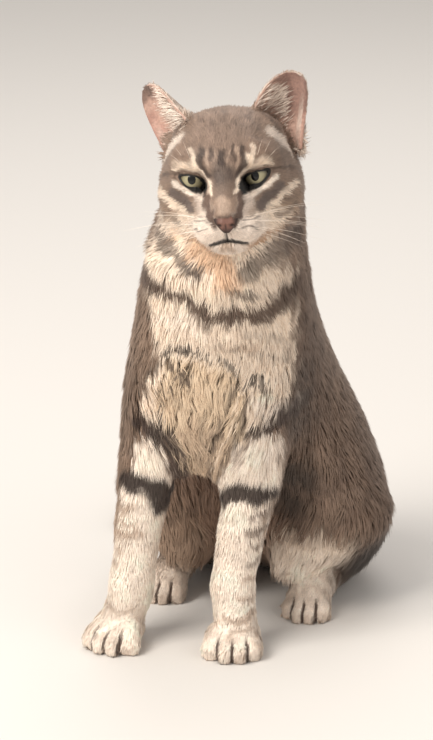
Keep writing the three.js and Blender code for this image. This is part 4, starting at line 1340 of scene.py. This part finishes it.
# The ears are bare and pink inside, darker towards the tip, with painted shade in the hollow by the outer
# edge.
def earTones(colours, points, kinds, facing, wobble, side):
    own = isEarOf(points, kinds, side)
    opening = earOpening(side)
    marks = earMarks[side]
    inner = smoothStep(0.1, 0.45, facing @ opening) * own
    outerward, _, upward = inEar(points, side).T
    wandering = outerward + 2 * wobble
    blendIn(colours, "tan", 0.45 * own)
    blendIn(colours, "faded", own * smoothStep(-12, 18, upward) * 0.35)
    blendIn(colours, "earPink", inner * 0.95)
    # painted shade in the ear's hollow towards its outer edge, strong in the left ear only
    hollowShade = smoothStep(-3, 5, wandering) * smoothStep(-10, 2, upward)
    blendIn(colours, "earHollowShade", inner * hollowShade * marks["hollowShade"])
    red = smoothStep(6, 12, wandering) * smoothStep(marks["redTo"], marks["redTo"] - 8, upward)
    blendIn(colours, "earRed", inner * red * marks["red"])
    backPale = 0.4 * smoothStep(4, 14, upward) + 0.7 * smoothStep(-8, -18, upward)
    blendIn(colours, "muzzle", (own - inner) * backPale)
    rim = own * smoothStep(0.75, 0.35, np.abs(facing @ opening)) * smoothStep(-20, -5, upward)
    blendIn(colours, "muzzle", 0.55 * rim)
    tip = smoothStep(*marks["tip"], upward + 2 * wobble) * smoothStep(-3, 2, outerward) * own
    blendIn(colours, "stripe", tip * 0.65)


# The colour of the coat at each point of its surface, from the kind of CAD node there and the way it faces.
def coatTone(points, kinds, facing):
    colours = np.tile(linearTone("taupe"), (len(points), 1))
    wobble = drift(points, 11, 3) * 0.7 + drift(points, 4, 4) * 0.3
    isHead = kinds == "head"
    isTail = kinds == "tail"
    local = toHead(points)
    isThroat = isHead & (local[:, 2] < face["jaw"][0] + face["jaw"][1] * local[:, 0] ** 2)
    isBody = (~isHead & ~isTail & (kinds != "ear")) | isThroat
    bodyTones(colours, points, kinds, wobble, isBody)
    headTones(colours, local, wobble, isHead, isThroat)
    tailTones(colours, points, wobble, isTail)
    for side in earFrames:
        earTones(colours, points, kinds, facing, wobble, side)
    broad = pattern["drift"] * drift(points, 26, 6)
    colours *= (1 + broad + pattern["fineDrift"] * drift(points, 7, 8))[:, None]
    return np.clip(colours, 0.003, 0.95)


def isEarOf(points, kinds, side):
    return (kinds == "ear") & (toHead(points)[:, 0] * signOf[side] > 0)


def earTurn(side):
    x, y, z = earFrames[side]
    return headAxes @ turned("Z", z) @ turned("Y", y) @ turned("X", x)


def earOpening(side):
    return earTurn(side) @ np.array([0, -1.0, 0])


# Places in an ear's own frame: outer edge +X, out of its opening -Y, up Z.
def inEar(points, side):
    return ((points - middleOf("ear_" + side)) @ earTurn(side)) * (signOf[side], 1, 1)


# Folds of the loose skin on the chest, as (x, z) from the front: points, depth, width, darkness of painted
# shade.
folds = [
    ([(4, 210), (9, 213.5), (20, 214.5), (30, 213)], 3.2, 2.2, 1.0),
    ([(30, 212), (38, 206), (46, 205.5), (52, 199)], 2.8, 2.0, 0.8),
    ([(51, 187), (58, 191.5), (63, 190), (69, 184)], 2.8, 2.0, 0.9),
    ([(6, 203), (13, 199), (20, 191)], 2.2, 2.6, 0.6),
    ([(-9, 195), (-1, 200.5)], 2.2, 2.2, 0.5),
    ([(-2, 180), (9, 187)], 2.2, 2.2, 0.6),
    ([(40, 219), (54, 219)], 1.4, 2.4, 0.3),
    ([(58, 226), (74, 220)], 1.4, 2.4, 0.3),
    ([(60, 212), (74, 204)], 1.4, 2.4, 0.35),
    ([(48, 186), (42, 166), (34, 146), (27, 118)], 1.6, 2.2, 0.5),
    ([(57, 178), (52, 158), (42, 136), (33, 116)], 1.6, 2.2, 0.5),
    ([(30, 172), (26, 150), (22, 126)], 1.4, 2.2, 0.35),
]
foldPlan = {
    "swell": 0.6,  # the bulge beside each fold
    "swellAt": 2.3,
    "swellWidth": 1.6,
    "waves": 0.8,
    "near": (9, 3),  # distances between which the coat gets short
    "dark": (0.5, 1.2),  # shares of a fold's width between which it's dark
}


def onChest(points):
    return (points[:, 1] < -84) & (points[:, 2] > 90) & (points[:, 2] < 235)


# How near each point of the chest is to a fold, from 0 to 1, and how dark the fold's painted shade is there.
def foldAt(points):
    chest = np.where(onChest(points))[0]
    front = points[chest]
    spots = front[:, [0, 2]] + wander(front, 19, 41) * 1.2
    near = np.zeros(len(points))
    dark = np.zeros(len(points))
    for path, _, width, shade in folds:
        gap = distanceToPath(spots, np.array(path, float))[0]
        shown = shade * (1 - smoothStep(*(share * width for share in foldPlan["dark"]), gap))
        near[chest] = np.maximum(near[chest], smoothStep(*foldPlan["near"], gap) * min(1, shade + 0.3))
        dark[chest] = np.maximum(dark[chest], shown)
    return near, dark


def foldedChest(skin):
    points = pointsOf(skin.data)
    normals = normalsOf(skin.data)
    chest = np.where(onChest(points) & (normals[:, 1] < -0.2))[0]
    spots = points[chest][:, [0, 2]]
    move = np.zeros(len(points))
    for path, depth, width, _ in folds:
        gap = distanceToPath(spots, np.array(path, float))[0]
        beside = gap - foldPlan["swellAt"] * width
        swell = foldPlan["swell"] * bump(beside, foldPlan["swellWidth"] * width)
        move[chest] += depth * (swell - bump(gap, width))
    move[chest] += foldPlan["waves"] * drift(points[chest], 21, 43)
    move = relax(move[:, None], edgesOf(skin.data), 2, 1.0)
    setPoints(skin.data, points + normals * move)


# The facts of the skin that the coat grows from.
def skinFacts(skin):
    mesh = skin.data
    mesh.calc_loop_triangles()
    points = pointsOf(mesh)
    owners, kinds = nearestNode(points)
    kinds = np.where((kinds == "forepaw") | (kinds == "hindpaw"), "paw", kinds)
    kinds = np.where((kinds == "nose") & (toHead(points)[:, 2] > skinPlan["hood"][1]), "head", kinds)
    return {
        "points": points,
        "triangles": readAll(mesh.loop_triangles, "vertices", 3, np.int32),
        "normals": normalsOf(mesh),
        "kinds": kinds,
        "owners": owners,
    }


def paintSkin(skin, facts):
    size = coatAt(facts["points"])[1]
    lifted = facts["points"] + facts["normals"] * (size[:, 1] * 0.8)[:, None]
    kinds = np.where((facts["kinds"] == "nose") | (facts["kinds"] == "eye"), "head", facts["kinds"])
    paintPoints(skin.data, "coatColour", coatTone(lifted, kinds, facts["normals"]) * 0.95)


foldedChest(skin)
facts = skinFacts(skin)
paintSkin(skin, facts)
leather = noseLeather()
lips = lipLine(mouthPath)
whiskers = whiskersOf(whiskerPlan)
print("markings painted; nose, lips and whiskers made")


# Tufts of fur: closed slivers that start just under the skin and lie along the coat.
fur = {
    "rootDepth": 0.3,
    "crossing": 8.0,  # degrees that the tufts stray from the lie
    "strayLength": (0.22, 0.4, 1.6),  # spread, least and most
    "strayLift": (0.26, 0.4, 1.5),
    "strayWidth": (0.2, 0.5, 1.6),
    "lift": 0.76,
    "puff": {"neck": 1.35, "hindleg": 1.1},  # where the coat stands out more
    "widest": 1.8,  # how much tufts may widen where they are fewer than wanted
    "lockSpread": 16,  # tufts to each lock that they lean towards
    "lockReach": 0.6,  # how far they lean at most, as a share of their length
    "middle": (0.45, 0.62),  # how far along a tuft is widest, and how far it has risen there
    "middleLean": 0.2,
    "ridge": 0.24,  # height of a tuft's back, as a share of its width
    "lowest": 0.25,
    "shades": (0.97, 0.97, 0.97, 0.97, 1.05),  # from the root to the tip
    "tuftShade": 0.045,
    "headShade": 1.7,  # how much more the tufts of the head differ
    "foldShare": 0.6,  # how much shorter the coat is at the folds
    "shownAt": 0.6,  # how far along a tuft the marking is the one it shows
    "patch": 0.003,
}
# A tuft's points are its root, two sides, back and tip; the first face of each half is its underside.
tuftFaces = [(0, 1, 2), (0, 2, 3), (0, 3, 1), (4, 2, 1), (4, 3, 2), (4, 1, 3)]
tuftUnders = (0, 3)
tuftPatch = [(0.5, 0.0), (0.0, 0.5), (1.0, 0.5), (0.5, 0.4), (0.5, 1.0)]


# Region by region: which triangles, how many times the tufts cover them, and most tufts.
def coatRegions(facts):
    corners = facts["triangles"]
    centres = facts["points"][corners].mean(1)
    kinds = facts["kinds"][corners[:, 0]]
    owners = facts["owners"][corners[:, 0]]
    back = toHead(centres)[:, 1] >= -12
    head = kinds == "head"
    trunk = kinds == "trunk"
    left = centres[:, 0] > spineAt
    chest = trunk & (centres[:, 1] < -88)
    limb = owners.astype("<U4")
    hind = limb == "hind"
    return {
        "coatFace": (head & ~back, 5.0, 33000),
        "coatCrown": (head & back, 6.5, 24000),
        "coatEars": (kinds == "ear", 5.0, 9000),
        "coatNeck": (kinds == "neck", 9.0, 28000),
        "coatChest": (chest, 9.0, 33000),
        "coatBackLeft": (trunk & ~chest & left, 7.0, 21000),
        "coatBackRight": (trunk & ~chest & ~left, 7.0, 20000),
        "coatForelegs": (limb == "fore", 6.5, 32000),
        "coatHaunchLeft": (hind & left, 7.0, 22000),
        "coatHaunchRight": (hind & ~left, 7.0, 18000),
        "coatTail": (kinds == "tail", 7.0, 9000),
    }


# The unwrap of a region of the skin, as one (u, v) for each corner of its triangles.
def regionUnwrap(name, facts, chosen):
    triangles = facts["triangles"][chosen]
    used, flat = np.unique(triangles, return_inverse=True)
    patch = meshPiece(name + "Unwrap", facts["points"][used], flat.reshape(-1, 3))
    inEditMode(patch, bpy.ops.uv.smart_project, angle_limit=math.radians(66), island_margin=0.004)
    mesh = patch.data
    spots = readAll(mesh.uv_layers[0].data, "uv", 2)
    bpy.data.objects.remove(patch)
    bpy.data.meshes.remove(mesh)
    return spots.reshape(-1, 3, 2)


# Where the tufts are rooted, as a triangle and shares of its corners, and how many more were wanted.
def pickRoots(facts, corners, coverage, most):
    spots = facts["points"][corners]
    area = np.linalg.norm(np.cross(spots[:, 1] - spots[:, 0], spots[:, 2] - spots[:, 0]), axis=1) / 2
    size = coatAt(spots.mean(1))[1]
    wanted = area * coverage / (size[:, 0] * size[:, 2] * 0.5)
    wanted = wanted * bareShare(facts, corners, spots.mean(1))
    total = wanted.sum()
    count = int(min(total, most))
    evenly = (np.arange(count) + random.random(count)) / count
    pick = np.searchsorted(np.cumsum(wanted) / total, evenly).clip(0, len(corners) - 1)
    a, b = random.random(count), random.random(count)
    over = a + b > 1
    a[over], b[over] = 1 - a[over], 1 - b[over]
    return pick, np.stack([1 - a - b, a, b], 1), total / count


def rotatedAbout(vectors, axes, angles):
    cross = np.cross(axes, vectors)
    return vectors * np.cos(angles)[:, None] + cross * np.sin(angles)[:, None]


# A factor near 1 for each tuft.
def strayed(count, spread, least, most):
    return (1 + spread * random.normal(size=count)).clip(least, most)


# For each tuft, the one in the middle of its lock.
def lockOf(roots):
    count = len(roots)
    centres = random.choice(count, max(2, count // fur["lockSpread"]), replace=False)
    tree = KDTree(len(centres))
    for number, centre in enumerate(roots[centres].tolist()):
        tree.insert(centre, number)
    tree.balance()
    return centres[np.array([tree.find(root)[1] for root in roots.tolist()])]


# The colours of each tuft's points: a little its own, and a little its lock's.
def tuftColours(shownAt, roots, kinds, up, lock):
    count = len(roots)
    shown = coatTone(shownAt, kinds, up)
    stray = fur["tuftShade"] * np.where(kinds == "head", fur["headShade"], 1.0)
    shade = random.normal(size=count) + 0.5 * random.normal(size=count)[lock]
    shown = shown * (1 + stray * shade)[:, None]
    for side, marks in earMarks.items():
        inside = isEarOf(roots, kinds, side) & (up @ earOpening(side) > 0.3)
        spot = inEar(roots, side)
        pale = inside & (spot[:, 0] < marks["paleTo"][0]) & (spot[:, 2] < marks["paleTo"][1])
        shown[pale] = linearTone("muzzle")
    return np.clip(shown[:, None] * np.array(fur["shades"])[None, :, None], 0.003, 0.97)


# Soft shading: the tufts take most of their light as the skin under them would, save for their undersides.
def shadeTufts(piece, points, triangles, up, kinds):
    outward = unit(points - points.mean(1, keepdims=True))
    trust = np.where(kinds == "ear", 0.35, 0.96)[:, None, None]
    shading = unit(up[:, None] * trust + outward * (1.05 - trust))
    byCorner = shading.reshape(-1, 3)[triangles].reshape(len(points), len(tuftFaces), 3, 3)
    for under in tuftUnders:
        a, b, c = (points[:, corner] for corner in tuftFaces[under])
        byCorner[:, under] = unit(np.cross(b - a, c - a))[:, None]
    piece.data.normals_split_custom_set(byCorner.reshape(-1, 3).tolist())


def growCoat(name, facts, chosen, coverage, most):
    corners = facts["triangles"][chosen]
    pick, weights, shortage = pickRoots(facts, corners, coverage, most)
    corners = corners[pick]
    count = len(pick)
    roots = (facts["points"][corners] * weights[..., None]).sum(1)
    up = unit((facts["normals"][corners] * weights[..., None]).sum(1))
    kinds = facts["kinds"][corners[:, 0]]
    lie, size = earLie(roots, up, kinds, *coatAt(roots))
    length, depth, width, clumping = size.T
    swirl = random.normal(size=count) + (0.9 + 3.4 * clumping) * drift(roots, 14, 11)
    swirl = (swirl + 2.4 * clumping * drift(roots, 30, 12)) * np.radians(fur["crossing"])
    ahead = unit(lie - up * (lie * up).sum(1)[:, None])
    ahead = rotatedAbout(ahead, up, swirl)
    length = length * (1 - fur["foldShare"] * foldAt(roots)[0])
    length = length * strayed(count, *fur["strayLength"])
    puff = np.array([fur["puff"].get(kind, 1.0) for kind in kinds])
    lift = depth * fur["lift"] * puff * strayed(count, *fur["strayLift"])
    width = width * math.sqrt(min(fur["widest"], max(1.0, shortage))) * strayed(count, *fur["strayWidth"])
    tips = roots + ahead * length[:, None] + up * lift[:, None]
    # tufts lean together into locks
    lock = lockOf(roots)
    shift = tips[lock] - tips
    reach = np.linalg.norm(shift, axis=1)
    shift *= np.minimum(1, fur["lockReach"] * length / np.maximum(reach, 1e-6))[:, None]
    tips += shift * clumping[:, None]
    along, rise = fur["middle"]
    middle = roots + (tips - roots) * along + up * (lift * (rise - along))[:, None]
    middle += shift * (clumping * fur["middleLean"])[:, None]
    half = unit(np.cross(up, ahead)) * (width / 2)[:, None]
    back = middle + up * (fur["ridge"] * width)[:, None]
    points = np.stack([roots - up * fur["rootDepth"], middle + half, middle - half, back, tips], 1)
    points[..., 2] = np.maximum(points[..., 2], fur["lowest"])
    shownAt = roots + up * (depth * 0.8)[:, None] + ahead * (length * fur["shownAt"])[:, None]
    colours = tuftColours(shownAt, roots, kinds, up, lock)
    starts = np.arange(count) * points.shape[1]
    triangles = (np.array(tuftFaces)[None] + starts[:, None, None]).reshape(-1, 3)
    piece = meshPiece(name, points.reshape(-1, 3), triangles)
    paintPoints(piece.data, "coatColour", colours.reshape(-1, 3))
    # each tuft is a small patch at its root's place on the unwrap of the skin
    places = (regionUnwrap(name, facts, chosen)[pick] * weights[..., None]).sum(1)
    patch = (np.array(tuftPatch) - 0.5) * fur["patch"]
    spread = (places[:, None] + patch[None]).reshape(-1, 2)
    unwrap = piece.data.uv_layers.new(name="OFBake")
    unwrap.data.foreach_set("uv", spread[triangles.ravel()].astype(np.float32).ravel())
    shadeTufts(piece, points, triangles, up, kinds)
    print(name, count, "tufts,", len(triangles), "triangles")
    return piece


# How thickly each triangle is grown over: nothing on the eyes, rims and lips, little inside the ears.
def bareShare(facts, corners, centres):
    share = np.ones(len(corners))
    local = toHead(centres)
    flat = local[:, [0, 2]]
    for side in (1, -1):
        near, gap = roundEye(flat, side, local[:, 1] < -20)
        share[near] *= smoothStep(1.0, 1.7, gap)
    near, gap = roundMouth(flat, local[:, 1] < -35)
    share[near] *= smoothStep(0.4, 1.0, gap)
    kinds = facts["kinds"][corners[:, 0]]
    for side in earFrames:
        facing = facts["normals"][corners[:, 0]] @ earOpening(side)
        own = isEarOf(centres, kinds, side)
        spot = inEar(centres, side)
        inside = smoothStep(0.1, 0.45, facing) * own
        rim = smoothStep(0.75, 0.4, np.abs(facing)) * (spot[:, 2] > -12) * own
        share *= 1 - 0.85 * rim
        share *= 1 - inside * (1 - 0.3 * smoothStep(8, -6, spot[:, 0]))
    return share


# The ears have a lie of their own: short outside, and long loose hairs from the inner edge across the inside.
def earLie(roots, up, kinds, lie, size):
    for side in earFrames:
        sign = signOf[side]
        turn = earTurn(side)
        own = isEarOf(roots, kinds, side)
        across, _, height = inEar(roots, side).T
        lie[own] = turn @ np.array([0, 0, 1.0]) + 0.15 * up[own]
        size[own] = earCoat["sizes"]
        low = smoothStep(-10, -22, height[own])
        size[own, 0] *= mixed(1.0, 0.6, smoothStep(6, 20, height[own])) + low
        size[own, 1] *= 1 + 2.5 * low
        inside = own & (up @ earOpening(side) > 0.3)
        loose = smoothStep(9, -5, across[inside]) * smoothStep(24, 6, height[inside])
        lie[inside] = turn @ flip(earCoat["insideLie"], sign)
        size[inside, 0] = mixed(*earCoat["insideLengths"], loose)
        size[inside, 1] = mixed(*earCoat["insideDepths"], loose)
        size[inside, 2] = earCoat["insideWidth"]
        # hair hangs over the foot of the ear and hides where it joins the head
        foot = own & (height < -12)
        hangs = smoothStep(-12, -22, height[foot]) * smoothStep(-2, 8, across[foot])
        lie[foot] = mixed(unit(lie[foot]), turn @ flip(earCoat["footLie"], sign), hangs[:, None])
    return lie, size


coats = {name: growCoat(name, facts, *row) for name, row in coatRegions(facts).items()}


# Materials: roughness, gloss, sheen, and how fine and deep the grain is and how much it tints.
looks = {
    "furCoat": (0.62, 0.0, 0.12, 900.0, 0.25, 0.48),
    "furSkin": (0.8, 0.0, 0.15, 620.0, 0.5, 1.0),
    "whisker": (0.4, 0.0, 0.0, 900.0, 0.25, 0.48),
    "eyelidLeather": (0.45, 0.2, 0.0, 1500.0, 0.35, 0.8),
    "noseLeather": (0.6, 0.05, 0.0, 1500.0, 0.35, 0.8),
    "eyeball": (0.25, 1.0, 0.0, 400.0, 0.0, 0.2),
}
finish = {
    "coarseScale": 60,
    "bumpDistance": 0.0002,
    "wet": {"Coat Roughness": 0.03, "Coat IOR": 1.33, "Specular IOR Level": 0.15},
    "irisReach": 10.0,  # millimetres from the middle of the pupil to the last of the iris stops
    "iris": [
        (0.0, (0.30, 0.27, 0.15)), (0.30, (0.36, 0.325, 0.195)), (0.44, (0.35, 0.315, 0.20)),
        (0.60, (0.27, 0.24, 0.145)), (0.76, (0.12, 0.10, 0.06)),
        (0.83, (0.012, 0.01, 0.007)), (1.0, (0.008, 0.006, 0.005)),
    ],
    "pupil": (2.5, 3.1, 1),  # radii of the oval
    "pupilEdge": {"From Min": 0.93, "From Max": 1.08},
    "pupilColour": (0.004, 0.004, 0.004, 1),
    # the iris darkens under the upper lid between these heights, to this share
    "lidShade": {"From Min": 1.0, "From Max": 4.4, "To Min": 1.0, "To Max": 0.35},
}


# A new node with its own settings; each of its inputs gets a value, or a link from another node's output.
def addNode(tree, kind, inputs=None, **settings):
    node = tree.nodes.new(kind)
    for name, value in settings.items():
        setattr(node, name, value)
    for name, value in (inputs or {}).items():
        if isinstance(value, bpy.types.NodeSocket):
            tree.links.new(value, node.inputs[name])
        else:
            node.inputs[name].default_value = value
    return node


def mathOf(tree, operation, *values):
    return addNode(tree, "ShaderNodeMath", dict(enumerate(values)), operation=operation).outputs[0]


def vectorOf(tree, operation, inputs, output="Vector"):
    return addNode(tree, "ShaderNodeVectorMath", inputs, operation=operation).outputs[output]


def smoothRange(tree, value, ends):
    inputs = {"Value": value, **ends}
    return addNode(tree, "ShaderNodeMapRange", inputs, interpolation_type="SMOOTHSTEP").outputs["Result"]


# Fine grain shared by the materials: a height and a brightness that change over the surface.
def grainGroup():
    group = bpy.data.node_groups.new("fineGrain", "ShaderNodeTree")
    for name, way in (("Scale", "INPUT"), ("Tint", "INPUT"), ("Height", "OUTPUT"), ("Shade", "OUTPUT")):
        group.interface.new_socket(name, in_out=way, socket_type="NodeSocketFloat")
    given = group.nodes.new("NodeGroupInput").outputs
    place = group.nodes.new("ShaderNodeTexCoord").outputs["Object"]
    inputs = {"Vector": place, "Scale": given["Scale"], "Detail": 3}
    fine = addNode(group, "ShaderNodeTexNoise", inputs).outputs["Fac"]
    inputs = {"Vector": place, "Scale": finish["coarseScale"]}
    coarse = addNode(group, "ShaderNodeTexNoise", inputs).outputs["Fac"]
    both = mathOf(group, "MULTIPLY_ADD", coarse, 0.5, fine)
    shade = mathOf(group, "MULTIPLY_ADD", mathOf(group, "SUBTRACT", both, 0.75), given["Tint"], 1.0)
    addNode(group, "NodeGroupOutput", {"Height": fine, "Shade": shade})
    return group


fineGrain = grainGroup()


# A material and the socket that its colour goes into, before the grain.
def newMaterial(name):
    roughness, gloss, sheen, fine, deep, tint = looks[name]
    material = bpy.data.materials.new(name)
    material.use_nodes = True
    tree = material.node_tree
    grained = addNode(tree, "ShaderNodeGroup", {"Scale": fine, "Tint": tint}, node_tree=fineGrain).outputs
    inputs = {"Height": grained["Height"], "Strength": deep, "Distance": finish["bumpDistance"]}
    bumped = addNode(tree, "ShaderNodeBump", inputs)
    scaled = addNode(tree, "ShaderNodeVectorMath", {"Scale": grained["Shade"]}, operation="SCALE")
    shader = tree.nodes["Principled BSDF"]
    for socket, value in (("Roughness", roughness), ("Coat Weight", gloss), ("Sheen Weight", sheen)):
        shader.inputs[socket].default_value = value
    tree.links.new(bumped.outputs["Normal"], shader.inputs["Normal"])
    tree.links.new(scaled.outputs["Vector"], shader.inputs["Base Color"])
    return material, scaled.inputs[0]


def attributeMaterial(name, attribute):
    material, colour = newMaterial(name)
    source = addNode(material.node_tree, "ShaderNodeAttribute", attribute_name=attribute)
    material.node_tree.links.new(source.outputs["Color"], colour)
    return material


def plainMaterial(name, tone):
    material, colour = newMaterial(name)
    colour.default_value = linearTone(tone)
    return material


def eyeMaterial():
    material, colour = newMaterial("eyeball")
    tree = material.node_tree
    for socket, value in finish["wet"].items():
        tree.nodes["Principled BSDF"].inputs[socket].default_value = value
    place = addNode(tree, "ShaderNodeUVMap", uv_map="eyeFront").outputs["UV"]
    centred = vectorOf(tree, "SUBTRACT", {0: place, 1: (0.5, 0.5, 0)})
    inMm = vectorOf(tree, "SCALE", {0: centred, "Scale": eyePlan["mapWidth"]})
    reach = vectorOf(tree, "LENGTH", {0: inMm}, "Value")
    # fibres: a noise stretched along the radius
    way = vectorOf(tree, "NORMALIZE", {0: inMm})
    fibres = addNode(tree, "ShaderNodeTexNoise", {"Vector": way, "Scale": 16, "Detail": 4}).outputs["Fac"]
    share = mathOf(tree, "DIVIDE", mathOf(tree, "ADD", fibres, reach), finish["irisReach"])
    iris = addNode(tree, "ShaderNodeValToRGB", {"Fac": share})
    ramp = iris.color_ramp
    while len(ramp.elements) < len(finish["iris"]):
        ramp.elements.new(0.5)
    for element, (spot, shade) in zip(ramp.elements, finish["iris"]):
        element.position = spot
        element.color = (*shade, 1)
    # the pupil, a slightly upright oval
    oval = vectorOf(tree, "DIVIDE", {0: inMm, 1: finish["pupil"]})
    edge = smoothRange(tree, vectorOf(tree, "LENGTH", {0: oval}, "Value"), finish["pupilEdge"])
    inputs = {"Factor": edge, "A": finish["pupilColour"], "B": iris.outputs["Color"]}
    seen = addNode(tree, "ShaderNodeMix", inputs, data_type="RGBA").outputs["Result"]
    # the upper lid shades the eye
    height = addNode(tree, "ShaderNodeSeparateXYZ", {0: inMm}).outputs["Y"]
    shaded = smoothRange(tree, height, finish["lidShade"])
    tree.links.new(vectorOf(tree, "SCALE", {0: seen, "Scale": shaded}), colour)
    return material


def dress(piece, material):
    piece.data.materials.clear()
    piece.data.materials.append(material)


furMaterial = attributeMaterial("furCoat", "coatColour")
skinMaterial = attributeMaterial("furSkin", "coatColour")
rimMaterial = plainMaterial("eyelidLeather", "rim")
leatherMaterial = attributeMaterial("noseLeather", "leatherColour")
irisMaterial = eyeMaterial()
whiskerMaterial = plainMaterial("whisker", "white")
dress(whiskers, whiskerMaterial)
for piece in coats.values():
    dress(piece, furMaterial)
dress(skin, skinMaterial)
dress(leather, leatherMaterial)
dress(lips, rimMaterial)
for side in ("left", "right"):
    dress(eyeballs[side], irisMaterial)
    dress(eyeRims[side], rimMaterial)
print("materials made")


for piece in coats.values():
    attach(piece, "root")
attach(skin, "root")
for side in ("left", "right"):
    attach(eyeballs[side], "root")
    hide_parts("eye_" + side)
    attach(eyeRims[side], "root")
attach(leather, "root")
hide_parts("nose")
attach(lips, "root")
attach(whiskers, "root")
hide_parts(*skinPlan["flesh"])
